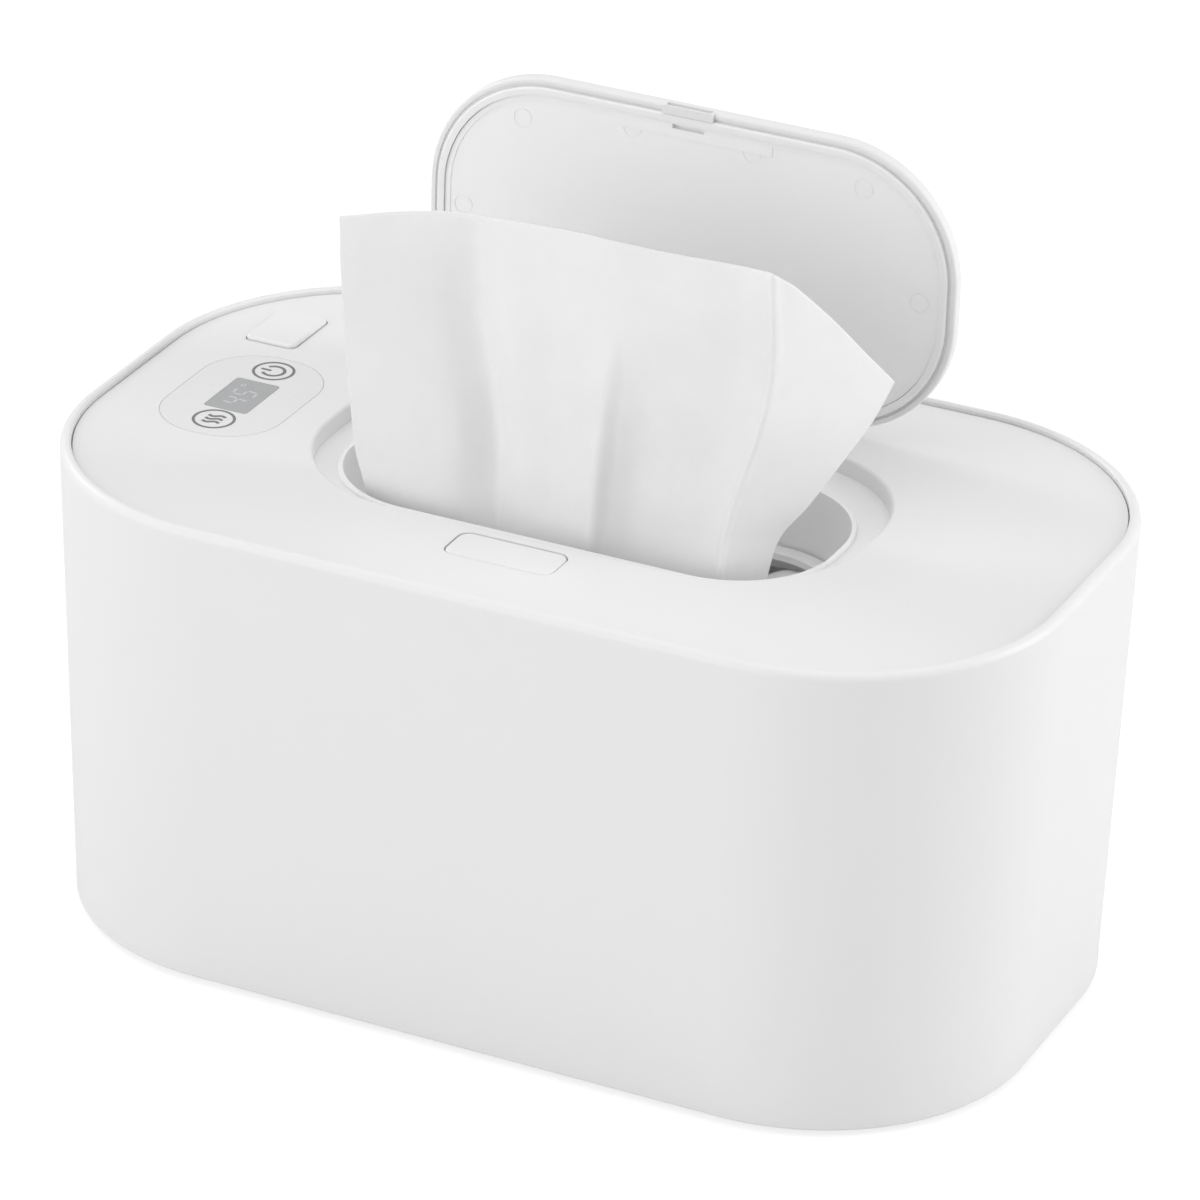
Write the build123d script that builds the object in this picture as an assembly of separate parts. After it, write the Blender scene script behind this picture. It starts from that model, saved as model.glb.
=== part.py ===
from build123d import *
import math
import os

# Baby wipe warmer. Millimetres, +Z up, +X along the long side, -Y the front.
# The origin is the middle of the footprint, on the surface that the rubber feet stand on.

# ---------------------------------------------------------------- driving dimensions
# casing
body_length = 220.0            # at the rim
body_width = 132.4
body_corner = 50.0             # plan radius of the corners at the rim
rim_z = 106.0                  # crest of the rim
casing_bottom_z = 1.5
casing_draft = 1.5625          # degrees, narrower at the bottom
casing_wall = 2.4
rim_round = 1.7
rim_chamfer = 0.4
casing_foot_round = 0.5
cover_drop = 1.2               # the top panel lies this far below the rim
slide_gap = 0.35               # moulded parts that drop into each other
panel_gap = 0.2                # seen all round the top panel

# tank
tank_ledge_z = 95.7            # casing ledge that carries the tank flange
tank_ledge_width = 2.4
tank_ledge_height = 3.0
tank_flange = 2.0
tank_flange_inset = 3.0
tank_mouth_inset = 9.0
tank_wall = 2.0
tank_draft = 2.5
tank_floor_z = 26.0            # top of the floor
tank_floor = 2.0
tank_floor_round = 5.0
tank_boss_radius = 3.6

# base
base_plate_z = 1.9
base_plate = 2.2
base_step_width = 2.0
base_step_height = 2.0
base_rib = 1.6
base_rib_height = 4.0
screw_pad_radius = 4.6
screw_pad_height = 1.4
foot_radius = 7.0
foot_seat_depth = 0.8
foot_setback = 28.0            # the feet's middle from the body's ends
foot_side = 30.2               # and from its long sides
screw_shank_radius = 1.4
screw_head_radius = 2.7
screw_head_height = 1.7
screw_fit = 0.05

# top cover
panel_plate = 2.2
panel_skirt = 2.0
panel_skirt_depth = 6.8
panel_edge_round = 0.3
frame_plate = 2.0
frame_gap = 0.25               # between the panel's skirt and the frame
frame_foot_width = 1.6
frame_skirt_inset = 9.9
frame_skirt = 1.8
frame_skirt_depth = 10.8
gasket_width = 1.9
gasket_height = 0.8

# lid recess and dispensing opening
lid_x = 1.0                    # the lid, its recess and the opening share this line
recess_length = 122.0
recess_width = 67.2
recess_corner = 30.0
recess_y = -0.4
recess_depth = 4.0
recess_wall = 1.5
recess_edge_round = 0.7
mouth_length = 111.1           # over the raised lip
mouth_width = 51.6
mouth_corner = 23.2
mouth_y = -2.6
lip_width = 1.2
lip_height = 0.6
collar_depth = 15.8
collar_wall = 1.8
collar_ring_width = 4.0
collar_ring = 1.5
drip_groove = 0.5              # round the ring, along the collar's wall
drip_groove_depth = 0.6

# lid
lid_length = 120.4
lid_width = 64.7
lid_corner = 28.0
lid_y = -0.8
lid_plate = 1.4
lid_flange_height = 3.0
lid_flange_width = 1.2
lid_flange_round = 0.7
seal_groove = 0.7              # shallow line between the rim and the seal
seal_groove_depth = 0.45
seal_width = 1.6
seal_stand = 0.65              # how far the seal stands out of the lid's flange
liner_thickness = 1.5
liner_bead = 0.2
pin_mark_radius = 2.2
pin_mark_depth = 0.15

# lid hinge
hinge_offset = 6.55            # behind the lid's back edge
hinge_z = 100.1
barrel_radius = 4.7
barrel_wall = 1.3
barrel_half_length = 23.2
knuckle_length = 9.0
hinge_pin_radius = 1.5
hinge_pin_half_length = 29.0
hinge_fit = 0.06
hinge_gap = 0.4
hinge_well_wall = 1.5
lid_spring_wire = 0.4          # radius
lid_spring_radius = 2.5
lid_spring_turns = 9
lid_spring_pitch = 1.35
spring_leg_depth = 2.0         # the fixed leg's end in the frame
leg_drop = -0.35               # from the hinge axis

# front key and its latch
key_length = 24.0
key_width = 10.4
key_corner = 2.6
key_offset = 3.2               # clear of the recess's front edge
key_gap = 0.3
key_travel = 1.1
key_plate = 1.2
key_wall = 1.2
catch_width = 11.5             # the lid's catch lug
catch_lip = 0.5
catch_stand = 0.85
catch_pocket = 1.0
nose_width = 9.6
nose_thickness = 0.6
nose_reach = 0.55
lever_offset = 6.1             # the lever's pin behind the key's middle
lever_z = 95.5
arm_offset = 2.6               # the key's post ahead of its middle
lever_hub_radius = 2.2
latch_pin_radius = 1.0
latch_wire = 0.45
latch_coil_radius = 1.9

# cover release, at the rear left corner
release_bearing = 28.6         # degrees, from the corner's centre
release_setback = 8.0          # from the key's middle to the tank's mouth
release_length = 16.6          # front to back
release_width = 11.7
release_corner = 1.6
release_stand = 0.8            # it stands proud of the panel
release_travel = 1.6
bolt_width = 7.2
bolt_height = 3.0
bolt_z = 91.6
bolt_reach = 1.0               # into the tank's wall
blade_thickness = 4.4
release_flange = 0.7
release_coil_radius = 1.75

# controls
control_setback = 28.3         # from the body's left end to the display's middle
control_y = -1.9
overlay_length = 41.0
overlay_width = 27.4
overlay_corner = 12.6
overlay_thickness = 0.3
display_length = 15.4
display_width = 10.0
touch_pitch = 13.5             # from the display's middle to each touch key
board_length = 38.0
board_width = 24.0
board_thickness = 1.2

# heater
heater_length = 128.0
heater_width = 60.0
heater_plate = 1.6
film_thickness = 0.6
pad_thickness = 6.0

# wipes
stack_room_x = 26.0            # left free at each end of the body's length
stack_room_y = 22.2
stack_height = 44.0
stack_corner = 10.0
wipe_thickness = 1.2
soft_gap = 0.3

# ---------------------------------------------------------------- derived levels
panel_z = rim_z - cover_drop
panel_under_z = panel_z - panel_plate
ledge_z = panel_z - recess_depth
frame_under_z = ledge_z - frame_plate
flange_top_z = tank_ledge_z + tank_flange
lid_under_z = panel_z - lid_flange_height
liner_top_z = panel_z - lid_plate
tank_under_z = tank_floor_z - tank_floor
base_top_z = base_plate_z + base_plate
screw_pad_z = base_top_z + screw_pad_height
seal_inset = lid_flange_width + seal_groove
half_length = body_length / 2
half_width = body_width / 2
corner_x = half_length - body_corner
corner_y = half_width - body_corner
foot_x = half_length - foot_setback
foot_y = half_width - foot_side
tank_boss_x = heater_length / 2 + 6.0
tank_boss_y = half_width - 46.2
stack_length = body_length - 2 * stack_room_x
stack_width = body_width - 2 * stack_room_y
hinge_y = lid_y + lid_width / 2 + hinge_offset
key_y = recess_y - recess_width / 2 - key_offset - key_width / 2
lever_y = key_y + lever_offset
lever_arm_y = key_y - arm_offset
control_x = control_setback - half_length
mouth_reach = body_corner - tank_mouth_inset
key_reach = mouth_reach - release_setback
release_x = -corner_x - key_reach * math.cos(math.radians(release_bearing))
release_y = corner_y + key_reach * math.sin(math.radians(release_bearing))


# ---------------------------------------------------------------- shared forms
def rounded(length, width, radius, z, x=0.0, y=0.0):
    return Pos(x, y, z) * RectangleRounded(length, width, radius)


def slab(length, width, radius, z_low, z_high, x=0.0, y=0.0):
    return extrude(rounded(length, width, radius, z_low, x, y), amount=z_high - z_low)


def box(x_low, x_high, y_low, y_high, z_low, z_high):
    corner = (Align.MIN, Align.MIN, Align.MIN)
    size = (x_high - x_low, y_high - y_low, z_high - z_low)
    return Pos(x_low, y_low, z_low) * Box(*size, align=corner)


def rod(radius, z_low, z_high, x=0.0, y=0.0):
    base = (Align.CENTER, Align.CENTER, Align.MIN)
    return Pos(x, y, z_low) * Cylinder(radius, z_high - z_low, align=base)


def cross_rod(radius, x_low, x_high, y, z):
    middle = (x_low + x_high) / 2
    return Pos(middle, y, z) * Rot(0, 90, 0) * Cylinder(radius, x_high - x_low)


def body_outline(inset, z):
    """The body's plan outline at the rim, moved in by inset, drawn at height z."""
    length = body_length - 2 * inset
    width = body_width - 2 * inset
    return rounded(length, width, body_corner - inset, z)


def body_slab(inset, z_low, z_high):
    return extrude(body_outline(inset, z_low), amount=z_high - z_low)


def drafted(inset, z_low, z_high):
    """A solid inside the casing's drafted side, everywhere inset from it."""
    shrink = (rim_z - z_low) * math.tan(math.radians(casing_draft))
    outline = body_outline(inset + shrink, z_low)
    return extrude(outline, amount=z_high - z_low, taper=-casing_draft)


def tank_form(inset, z_low, z_high):
    """A solid that follows the tank's drafted wall; inset is measured at the flange's top."""
    shrink = (flange_top_z - z_low) * math.tan(math.radians(tank_draft))
    outline = body_outline(inset + shrink, z_low)
    return extrude(outline, amount=z_high - z_low, taper=-tank_draft)


def lid_slab(inset, z_low, z_high):
    length = lid_length - 2 * inset
    width = lid_width - 2 * inset
    return slab(length, width, lid_corner - inset, z_low, z_high, lid_x, lid_y)


def recess_slab(grow, z_low, z_high):
    length = recess_length + 2 * grow
    width = recess_width + 2 * grow
    return slab(length, width, recess_corner + grow, z_low, z_high, lid_x, recess_y)


def mouth_slab(inset, z_low, z_high):
    length = mouth_length - 2 * inset
    width = mouth_width - 2 * inset
    return slab(length, width, mouth_corner - inset, z_low, z_high, lid_x, mouth_y)


def coil(wire_radius, coil_radius, z_low, z_high, turns, x=0.0, y=0.0):
    """A compression spring on a vertical axis, with its end turns' wire inside z_low to z_high."""
    height = z_high - z_low - 2 * wire_radius
    path = Helix(pitch=height / turns, height=height, radius=coil_radius)
    section = Plane(origin=path @ 0, z_dir=path % 0) * Circle(wire_radius)
    return Pos(x, y, z_low + wire_radius) * sweep(section, path=path, is_frenet=True)


def top_edges(solid):
    return solid.edges().group_by(Axis.Z)[-1]


def bottom_edges(solid):
    return solid.edges().group_by(Axis.Z)[0]


# ---------------------------------------------------------------- casing and base
socket_x = tank_boss_x - 25.0
socket_z = 16.6
socket_mouth_radius = 4.4


def outer_casing():
    outer = drafted(0.0, casing_bottom_z, rim_z)
    outer = fillet(top_edges(outer), rim_round)
    outer = fillet(bottom_edges(outer), casing_foot_round)
    cavity = drafted(casing_wall, casing_bottom_z - 1, rim_z + 1)
    shell = outer - cavity
    chamfer_z = rim_z - rim_chamfer
    shell -= extrude(body_outline(casing_wall, chamfer_z), amount=rim_chamfer * 2, taper=-45)
    # the ledge that carries the tank's flange, with a sloped underside
    ledge_low = tank_ledge_z - tank_ledge_height - tank_ledge_width
    ledge = drafted(casing_wall - 0.6, ledge_low, tank_ledge_z)
    slope_inset = casing_wall - 0.2 + (rim_z - ledge_low) * math.tan(math.radians(casing_draft))
    slope = extrude(body_outline(slope_inset, ledge_low), amount=tank_ledge_width, taper=45)
    ledge -= slope
    ledge -= body_slab(slope_inset + tank_ledge_width, ledge_low, tank_ledge_z + 1)
    # the step that the base plate bears against
    step = drafted(casing_wall - 0.6, base_top_z, base_top_z + base_step_height)
    step -= drafted(casing_wall + base_step_width, base_top_z - 1, base_top_z + base_step_height + 1)
    shell = shell + ledge + step
    # the inlet's round opening in the back wall, and the notch for the contact block
    shell -= Pos(socket_x, body_width / 2, socket_z) * Rot(90, 0, 0) * Cylinder(socket_mouth_radius, 16)
    shell -= contact_block_space(slide_gap)
    return shell


def base_plate_part():
    plate = drafted(casing_wall + slide_gap, base_plate_z, base_top_z)
    plate = fillet(bottom_edges(plate), 0.6)
    rib_inset = casing_wall + base_step_width + slide_gap
    rib = drafted(rib_inset, base_top_z, base_top_z + base_rib_height)
    rib -= drafted(rib_inset + base_rib, base_top_z, base_top_z + base_rib_height + 1)
    plate += rib
    # the inlet stands on the plate where the rib would cross it
    rib_room = (rim_z - base_top_z) * math.tan(math.radians(casing_draft)) + rib_inset + 4
    plate -= box(
        socket_x - 7, socket_x + 7, half_width - rib_room, half_width,
        base_top_z, base_top_z + base_rib_height + 1,
    )
    for sx in (-1, 1):
        for sy in (-1, 1):
            x, y = sx * tank_boss_x, sy * tank_boss_y
            plate += rod(screw_pad_radius, base_top_z, screw_pad_z, x, y)
            plate -= rod(screw_head_radius + 0.3, base_plate_z - 1, base_plate_z + 1.8, x, y)
            plate -= rod(screw_shank_radius + 0.2, base_plate_z, screw_pad_z + 1, x, y)
            seat_z = base_plate_z + foot_seat_depth
            plate -= rod(foot_radius + 0.1, base_plate_z - 1, seat_z, sx * foot_x, sy * foot_y)
    for x, y in board_posts():
        plate += rod(2.4, base_top_z, power_board_z, x, y)
    # stiffening ribs under the heater
    rib_half = stack_width / 2
    for x in (-heater_length / 3.2, -heater_length / 6.4):
        plate += box(x - 0.7, x + 0.7, -rib_half, rib_half, base_top_z, base_top_z + 5)
    return plate


def rubber_feet():
    feet = []
    for sx in (-1, 1):
        for sy in (-1, 1):
            foot = rod(foot_radius, 0, base_plate_z + foot_seat_depth, sx * foot_x, sy * foot_y)
            feet.append(fillet(bottom_edges(foot), 0.7))
    return Compound(children=feet)


def base_screws():
    screws = []
    head_z = base_plate_z + 0.1
    for sx in (-1, 1):
        for sy in (-1, 1):
            x, y = sx * tank_boss_x, sy * tank_boss_y
            screw = rod(screw_head_radius, head_z, head_z + screw_head_height, x, y)
            screw += rod(screw_shank_radius, head_z, screw_pad_z + 8, x, y)
            screw -= Pos(x, y, head_z) * Box(3.0, 0.7, 1.6)
            screw -= Pos(x, y, head_z) * Box(0.7, 3.0, 1.6)
            screws.append(screw)
    return Compound(children=screws)


# ---------------------------------------------------------------- tank and heater
def corner_frame():
    """Local frame of the rear left corner: x runs out of the corner's centre through the key."""
    return Pos(-corner_x, corner_y, 0) * Rot(0, 0, 180 - release_bearing)


def inner_tank():
    wall_inset = tank_mouth_inset - tank_wall
    tank = tank_form(wall_inset, tank_under_z, tank_ledge_z + 0.5)
    tank = fillet(bottom_edges(tank), tank_floor_round + tank_wall)
    tank += body_slab(tank_flange_inset, tank_ledge_z, flange_top_z)
    # local thickening behind the keeper pocket of the cover's bolt
    pad = box(mouth_reach - 1, mouth_reach + 3.4, -6, 6, bolt_z - 3.6, tank_ledge_z)
    tank += corner_frame() * pad
    hollow = tank_form(tank_mouth_inset, tank_floor_z, flange_top_z + 1)
    hollow = fillet(bottom_edges(hollow), tank_floor_round)
    tank -= hollow
    pocket_depth = bolt_reach + 0.5
    pocket_half = bolt_width / 2 + 0.4
    pocket = box(
        mouth_reach - 2, mouth_reach + pocket_depth, -pocket_half, pocket_half,
        bolt_z - 0.4, bolt_z + bolt_height + 0.4,
    )
    tank -= corner_frame() * pocket
    for sx in (-1, 1):
        for sy in (-1, 1):
            x, y = sx * tank_boss_x, sy * tank_boss_y
            tank += rod(tank_boss_radius, screw_pad_z, tank_under_z + 0.5, x, y)
            tank -= rod(screw_shank_radius + screw_fit, screw_pad_z - 1, screw_pad_z + 12, x, y)
    tank -= contact_block_space(slide_gap)
    return tank


def heating_plate():
    return slab(heater_length, heater_width, 10, tank_under_z - heater_plate, tank_under_z)


def heating_film():
    top = tank_under_z - heater_plate
    film = slab(heater_length - 8, heater_width - 8, 7, top - film_thickness, top)
    film += box(heater_length / 2 - 6, heater_length / 2 + 4, -6, 6, top - film_thickness, top)
    return film


def insulation_pad():
    top = tank_under_z - heater_plate - film_thickness - soft_gap
    pad = slab(heater_length, heater_width + 6, 11, top - pad_thickness, top)
    pad -= box(-8, 22, -5, 5, top - pad_thickness - 1, top + 1)
    return pad


def temperature_sensor():
    top = tank_under_z - heater_plate - film_thickness
    body = box(-5, 1, -2.2, 2.2, top - 2.6, top)
    lead = box(-6.5, -5, -0.9, -0.3, top - 1.4, top - 0.8) + box(-6.5, -5, 0.3, 0.9, top - 1.4, top - 0.8)
    return body + lead


def thermal_fuse():
    top = tank_under_z - heater_plate - film_thickness
    radius = 1.9
    body = cross_rod(radius, 7, 16, 0, top - radius)
    wires = cross_rod(0.4, 4.5, 19.5, 0, top - radius)
    saddle = box(9.5, 13.5, -3.6, 3.6, top - 2.0, top)
    return body + wires + saddle


# ---------------------------------------------------------------- power parts
power_board_z = 8.5
power_board_x = socket_x - 10.0
power_board_setback = 36.2     # from the body's back to the board's middle
power_board_y = half_width - power_board_setback
power_board_length = 56.0
power_board_width = 44.0
capacitor_radius = 3.1


def board_posts():
    dx, dy = power_board_length / 2 - 4, power_board_width / 2 - 4
    return [(power_board_x + sx * dx, power_board_y + sy * dy) for sx in (-1, 1) for sy in (-1, 1)]


def power_board():
    top = power_board_z + 1.6
    board = slab(power_board_length, power_board_width, 1.5, power_board_z, top, power_board_x, power_board_y)
    unit, side = power_board_length / 4, power_board_width / 4
    board += on_board(-unit, -side, unit, unit, 4.4)                          # switching choke
    board += on_board(0.3 * unit, -side, 0.7 * unit, 0.6 * unit, 2.6)         # driver
    board += on_board(1.4 * unit, -1.2 * side, 0.6 * unit, 0.6 * unit, 4.8)   # heater connector
    for share in (-1.35, -0.7):                                               # reservoir capacitors
        x, y = power_board_x + share * unit, power_board_y + 1.35 * side
        board += rod(capacitor_radius, top, top + 8.5, x, y)
    return board


def on_board(x, y, length, width, height):
    """A block on the power board, placed from the board's middle."""
    x += power_board_x
    y += power_board_y
    top = power_board_z + 1.6
    return box(x - length / 2, x + length / 2, y - width / 2, y + width / 2, top, top + height)


def power_socket():
    back = body_width / 2 - (rim_z - socket_z) * math.tan(math.radians(casing_draft))
    front = back - casing_wall - 0.3
    low = power_board_z + 1.6
    body = box(socket_x - 4.6, socket_x + 4.6, front - 12, front, low, low + 11)
    nose_radius = socket_mouth_radius - 0.25
    axis = Pos(socket_x, 0, socket_z) * Rot(-90, 0, 0)
    nose = axis * rod(nose_radius, front - 1, back - 0.6)
    bore = axis * rod(3.2, front - 8, back + 1)
    pin = axis * rod(1.0, front - 9, back - 2)
    return (body + nose) - bore + pin


# ---------------------------------------------------------------- contacts from base to cover
contact_inset = 3.5
contact_depth = 3.4
contact_half_width = 9.0
contact_low_z = 84.0
contact_pitch = 6.0
contact_pin_radius = 0.5
contact_pad = 0.3
contact_pad_width = 1.4
contact_line_x = -body_length / 2 + contact_inset + contact_depth - 0.95


contact_seat_z = tank_ledge_z + 0.9


def contact_lines():
    return (-contact_pitch, 0.0, contact_pitch)


def contact_block_space(gap):
    x = -body_length / 2 + contact_inset
    return box(
        x - gap, x + contact_depth + gap,
        -contact_half_width - gap, contact_half_width + gap,
        contact_low_z - 1, flange_top_z + 1,
    )


def contact_block():
    x = -body_length / 2 + contact_inset
    block = box(x, x + contact_depth, -contact_half_width, contact_half_width, contact_low_z, flange_top_z)
    for y in contact_lines():
        block -= rod(contact_pin_radius + 0.05, contact_seat_z, flange_top_z + 1, contact_line_x, y)
    return block


def contact_pins():
    pins = []
    for y in contact_lines():
        pin = rod(contact_pin_radius, contact_seat_z, frame_under_z - contact_pad - 0.05, contact_line_x, y)
        pins.append(fillet(top_edges(pin), 0.3))
    return Compound(children=pins)


def contact_pads():
    low = frame_under_z - contact_pad
    pads = [slab(contact_pad_width, 3.6, 0.4, low, frame_under_z, contact_line_x, y) for y in contact_lines()]
    return Compound(children=pads)


# ---------------------------------------------------------------- top cover
panel_inset = casing_wall + panel_gap
frame_inset = casing_wall + slide_gap + panel_skirt + frame_gap
front_screw_y = 18.7 - half_width
back_screw_y = half_width - 26.2
end_screw_x = half_length - 26.0
screw_points = [
    (-26.0, front_screw_y), (26.0, front_screw_y), (-50.0, back_screw_y), (50.0, back_screw_y),
    (end_screw_x, 22.0), (end_screw_x, -22.0), (36.0 - half_length, 32.2 - half_width),
]
cover_boss_radius = 3.2
cover_shank_radius = 1.25


def release_slab(grow, z_low, z_high):
    return slab(
        release_width + 2 * grow, release_length + 2 * grow, release_corner + grow,
        z_low, z_high, release_x, release_y,
    )


def key_slab(grow, z_low, z_high):
    return slab(key_length + 2 * grow, key_width + 2 * grow, key_corner + grow, z_low, z_high, 0.0, key_y)


def top_panel():
    panel = drafted(panel_inset, panel_z - panel_skirt_depth, panel_z)
    panel = fillet(top_edges(panel), panel_edge_round)
    inner = panel_inset + panel_skirt
    panel -= drafted(inner, panel_z - panel_skirt_depth - 1, panel_under_z)
    panel += recess_slab(recess_wall, ledge_z, panel_under_z + 0.3)
    # wall behind the hinge notch
    notch_half = barrel_half_length + 0.5
    notch_back = hinge_y + barrel_radius + 0.3
    panel += box(-notch_half, notch_half, notch_back, notch_back + 1.2, ledge_z, panel_under_z + 0.3)
    opening = recess_slab(0.0, ledge_z - 1, panel_z + 1)
    panel -= opening
    panel = fillet(recess_rim(panel), recess_edge_round)
    panel -= box(-notch_half, notch_half, 20, notch_back, ledge_z - 1, panel_z + 1)
    # guide holes of the two keys
    panel -= key_slab(key_gap, panel_under_z - 1, panel_z + 1)
    panel -= release_slab(key_gap, panel_under_z - 1, panel_z + 1)
    # window in the recess wall for the latch's nose
    window_low, window_high = ledge_z + 0.5, ledge_z + 2.3
    front = recess_y - recess_width / 2
    half = nose_width / 2 + 0.6
    panel -= box(-half, half, front - recess_wall - 0.2, front + 1, window_low, window_high)
    # shallow seat of the control overlay and the display's window
    seat_z = panel_z - overlay_thickness
    panel -= slab(overlay_width, overlay_length, overlay_corner, seat_z, panel_z + 1, control_x, control_y)
    window = slab(display_width + 0.4, display_length + 0.4, 1.0, panel_under_z - 1, panel_z)
    panel -= Pos(control_x, control_y, 0) * window
    for x, y in screw_points:
        panel += rod(cover_boss_radius, ledge_z, panel_under_z + 0.3, x, y)
        panel -= rod(cover_shank_radius + screw_fit, ledge_z - 1, panel_z - 1.2, x, y)
    return panel


def recess_rim(panel):
    """The sharp edge where the recess wall meets the panel's top face."""
    reach = recess_length / 2 + 1
    middles = [(edge, edge.center()) for edge in top_edges(panel)]
    return ShapeList([e for e, m in middles if abs(m.X - lid_x) < reach and abs(m.Y) < reach])


def control_overlay():
    sheet = slab(
        overlay_width - 0.3, overlay_length - 0.3, overlay_corner - 0.15,
        panel_z - overlay_thickness, panel_z, control_x, control_y,
    )
    window = slab(display_width + 0.2, display_length + 0.2, 0.9, panel_under_z, panel_z + 1)
    return sheet - Pos(control_x, control_y, 0) * window


def display_window():
    return slab(display_width, display_length, 0.8, panel_under_z + 0.1, panel_z - 0.02, control_x, control_y)


control_board_z = frame_under_z + 0.2
well_floor_z = 91.5


def control_board():
    top = control_board_z + board_thickness
    board = slab(board_width, board_length, 1.2, control_board_z, top, control_x, control_y)
    half = board_width / 7
    driver = box(-half, half, -half, half, -1.0, 0)
    connector = box(-2.6 * half, -1.4 * half, -4.1 * half, -1.8 * half, -3.2, 0)
    return board + Pos(control_x, control_y, control_board_z) * (driver + connector)


def display_module():
    top = control_board_z + board_thickness
    return slab(display_width - 0.6, display_length - 0.6, 0.5, top, panel_under_z, control_x, control_y)


def touch_springs():
    low = control_board_z + board_thickness
    springs = []
    for sign in (-1, 1):
        y = control_y + sign * touch_pitch
        springs.append(coil(0.35, 3.2, low, panel_under_z, 2.5, control_x, y))
    return Compound(children=springs)


def cover_frame():
    frame = drafted(frame_inset, frame_under_z, ledge_z)
    # perimeter foot that stands on the tank's flange
    foot = drafted(frame_inset, flange_top_z, frame_under_z + 0.3)
    foot -= drafted(frame_inset + frame_foot_width, flange_top_z - 1, frame_under_z + 1)
    foot -= box(-body_length, -body_length / 2 + 20, -12, 12, flange_top_z - 1, frame_under_z)
    frame += foot
    # locating skirt inside the tank's mouth
    skirt = body_slab(frame_skirt_inset, frame_under_z - frame_skirt_depth, frame_under_z + 0.3)
    inner = frame_skirt_inset + frame_skirt
    skirt -= body_slab(inner, frame_under_z - frame_skirt_depth - 1, frame_under_z + 1)
    frame += skirt
    # collar and raised lip of the dispensing opening
    frame += mouth_slab(lip_width - collar_wall, ledge_z - collar_depth, ledge_z)
    lip = mouth_slab(0.0, ledge_z, ledge_z + lip_height)
    frame += fillet(top_edges(lip), lip_height * 0.8)
    frame += control_well() + latch_well() + hinge_well() + release_guide()
    ring_top = ledge_z - collar_depth + collar_ring
    frame -= mouth_slab(lip_width, ring_top, ledge_z + lip_height + 1)
    groove = mouth_slab(lip_width, ring_top - drip_groove_depth, ring_top + 1)
    frame -= groove - mouth_slab(lip_width + drip_groove, ring_top - 1, ring_top + 2)
    frame -= mouth_slab(lip_width + collar_ring_width, ledge_z - collar_depth - 1, ledge_z)
    frame -= control_space() + latch_space() + hinge_space() + release_space()
    frame += hinge_bearings()
    frame -= spring_leg_hole() + latch_pin_holes()
    for x, y in screw_points:
        frame -= rod(cover_shank_radius + 0.2, frame_under_z - 1, ledge_z + 1, x, y)
    for dx in (-1, 1):
        for dy in (-1, 1):
            x = control_x + dx * (board_width / 2 - 2.2)
            y = control_y + dy * (board_length / 2 - 2.2)
            frame += rod(1.8, well_floor_z - 0.3, control_board_z, x, y)
    return frame


def control_space():
    return slab(board_width + 2, board_length + 2, 2, well_floor_z, ledge_z + 1, control_x, control_y)


def control_well():
    wall = 1.5
    return slab(
        board_width + 2 + 2 * wall, board_length + 2 + 2 * wall, 2 + wall,
        well_floor_z - wall, frame_under_z + 0.3, control_x, control_y,
    )


latch_floor_z = 89.4
latch_half = 7.6
latch_front_y = key_y - key_width / 2 - 1.8
latch_mouth_y = recess_y - recess_width / 2 - recess_wall + 0.4
latch_back_y = lever_y + lever_hub_radius + 0.5


def latch_space():
    mouth = box(-latch_half, latch_half, latch_front_y, latch_mouth_y, latch_floor_z, ledge_z + 1)
    return mouth + box(-latch_half, latch_half, latch_front_y, latch_back_y, latch_floor_z, frame_under_z)


def latch_well():
    wall = 1.5
    return box(
        -latch_half - wall, latch_half + wall, latch_front_y - wall, latch_back_y + wall,
        latch_floor_z - wall, frame_under_z + 0.3,
    )


hinge_space_half = hinge_pin_half_length + 0.4
hinge_front_y = hinge_y - barrel_radius - hinge_gap
hinge_back_y = hinge_y + barrel_radius + hinge_gap
hinge_floor_z = hinge_z - barrel_radius - 1.2


def hinge_space():
    space = box(
        -hinge_space_half, hinge_space_half, hinge_front_y, hinge_back_y, hinge_floor_z, ledge_z + 1,
    )
    return space


def hinge_well():
    return box(
        -hinge_space_half - hinge_well_wall, hinge_space_half + hinge_well_wall,
        hinge_front_y - hinge_well_wall, hinge_back_y + hinge_well_wall,
        hinge_floor_z - hinge_well_wall, frame_under_z + 0.3,
    )


def hinge_bearings():
    bearings = []
    inner = barrel_half_length + 0.4
    outer = hinge_pin_half_length + 1.0
    for sign in (-1, 1):
        low, high = sorted((sign * inner, sign * outer))
        block = box(low, high, hinge_y - 2.9, hinge_y + 2.9, hinge_floor_z - 0.4, hinge_z)
        block += cross_rod(2.4, low, high, hinge_y, hinge_z) & box(low, high, 0, 60, 90, panel_under_z - 0.1)
        bearings.append(block)
    bearings = bearings[0] + bearings[1]
    return bearings - cross_rod(
        hinge_pin_radius + hinge_fit, -hinge_pin_half_length, hinge_pin_half_length, hinge_y, hinge_z,
    )


# release mechanism, in the corner's local frame: x is the way the bolt slides out
bolt_tip = mouth_reach + bolt_reach
bolt_tail = key_reach - 9.0
bolt_gap = 0.1
blade_half = 2.5
guide_tail = bolt_tail - 1.4
guide_low_z = bolt_z - 2.0
# the blade's inner face runs along x + z = blade_line
blade_line = key_reach - 3.5 + bolt_z + bolt_height / 2
blade_low_z = bolt_z - 0.7
blade_top_z = bolt_z + bolt_height + 2.2
spring_reach = key_reach + 2.6
spring_floor_z = bolt_z + 4.3


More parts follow.
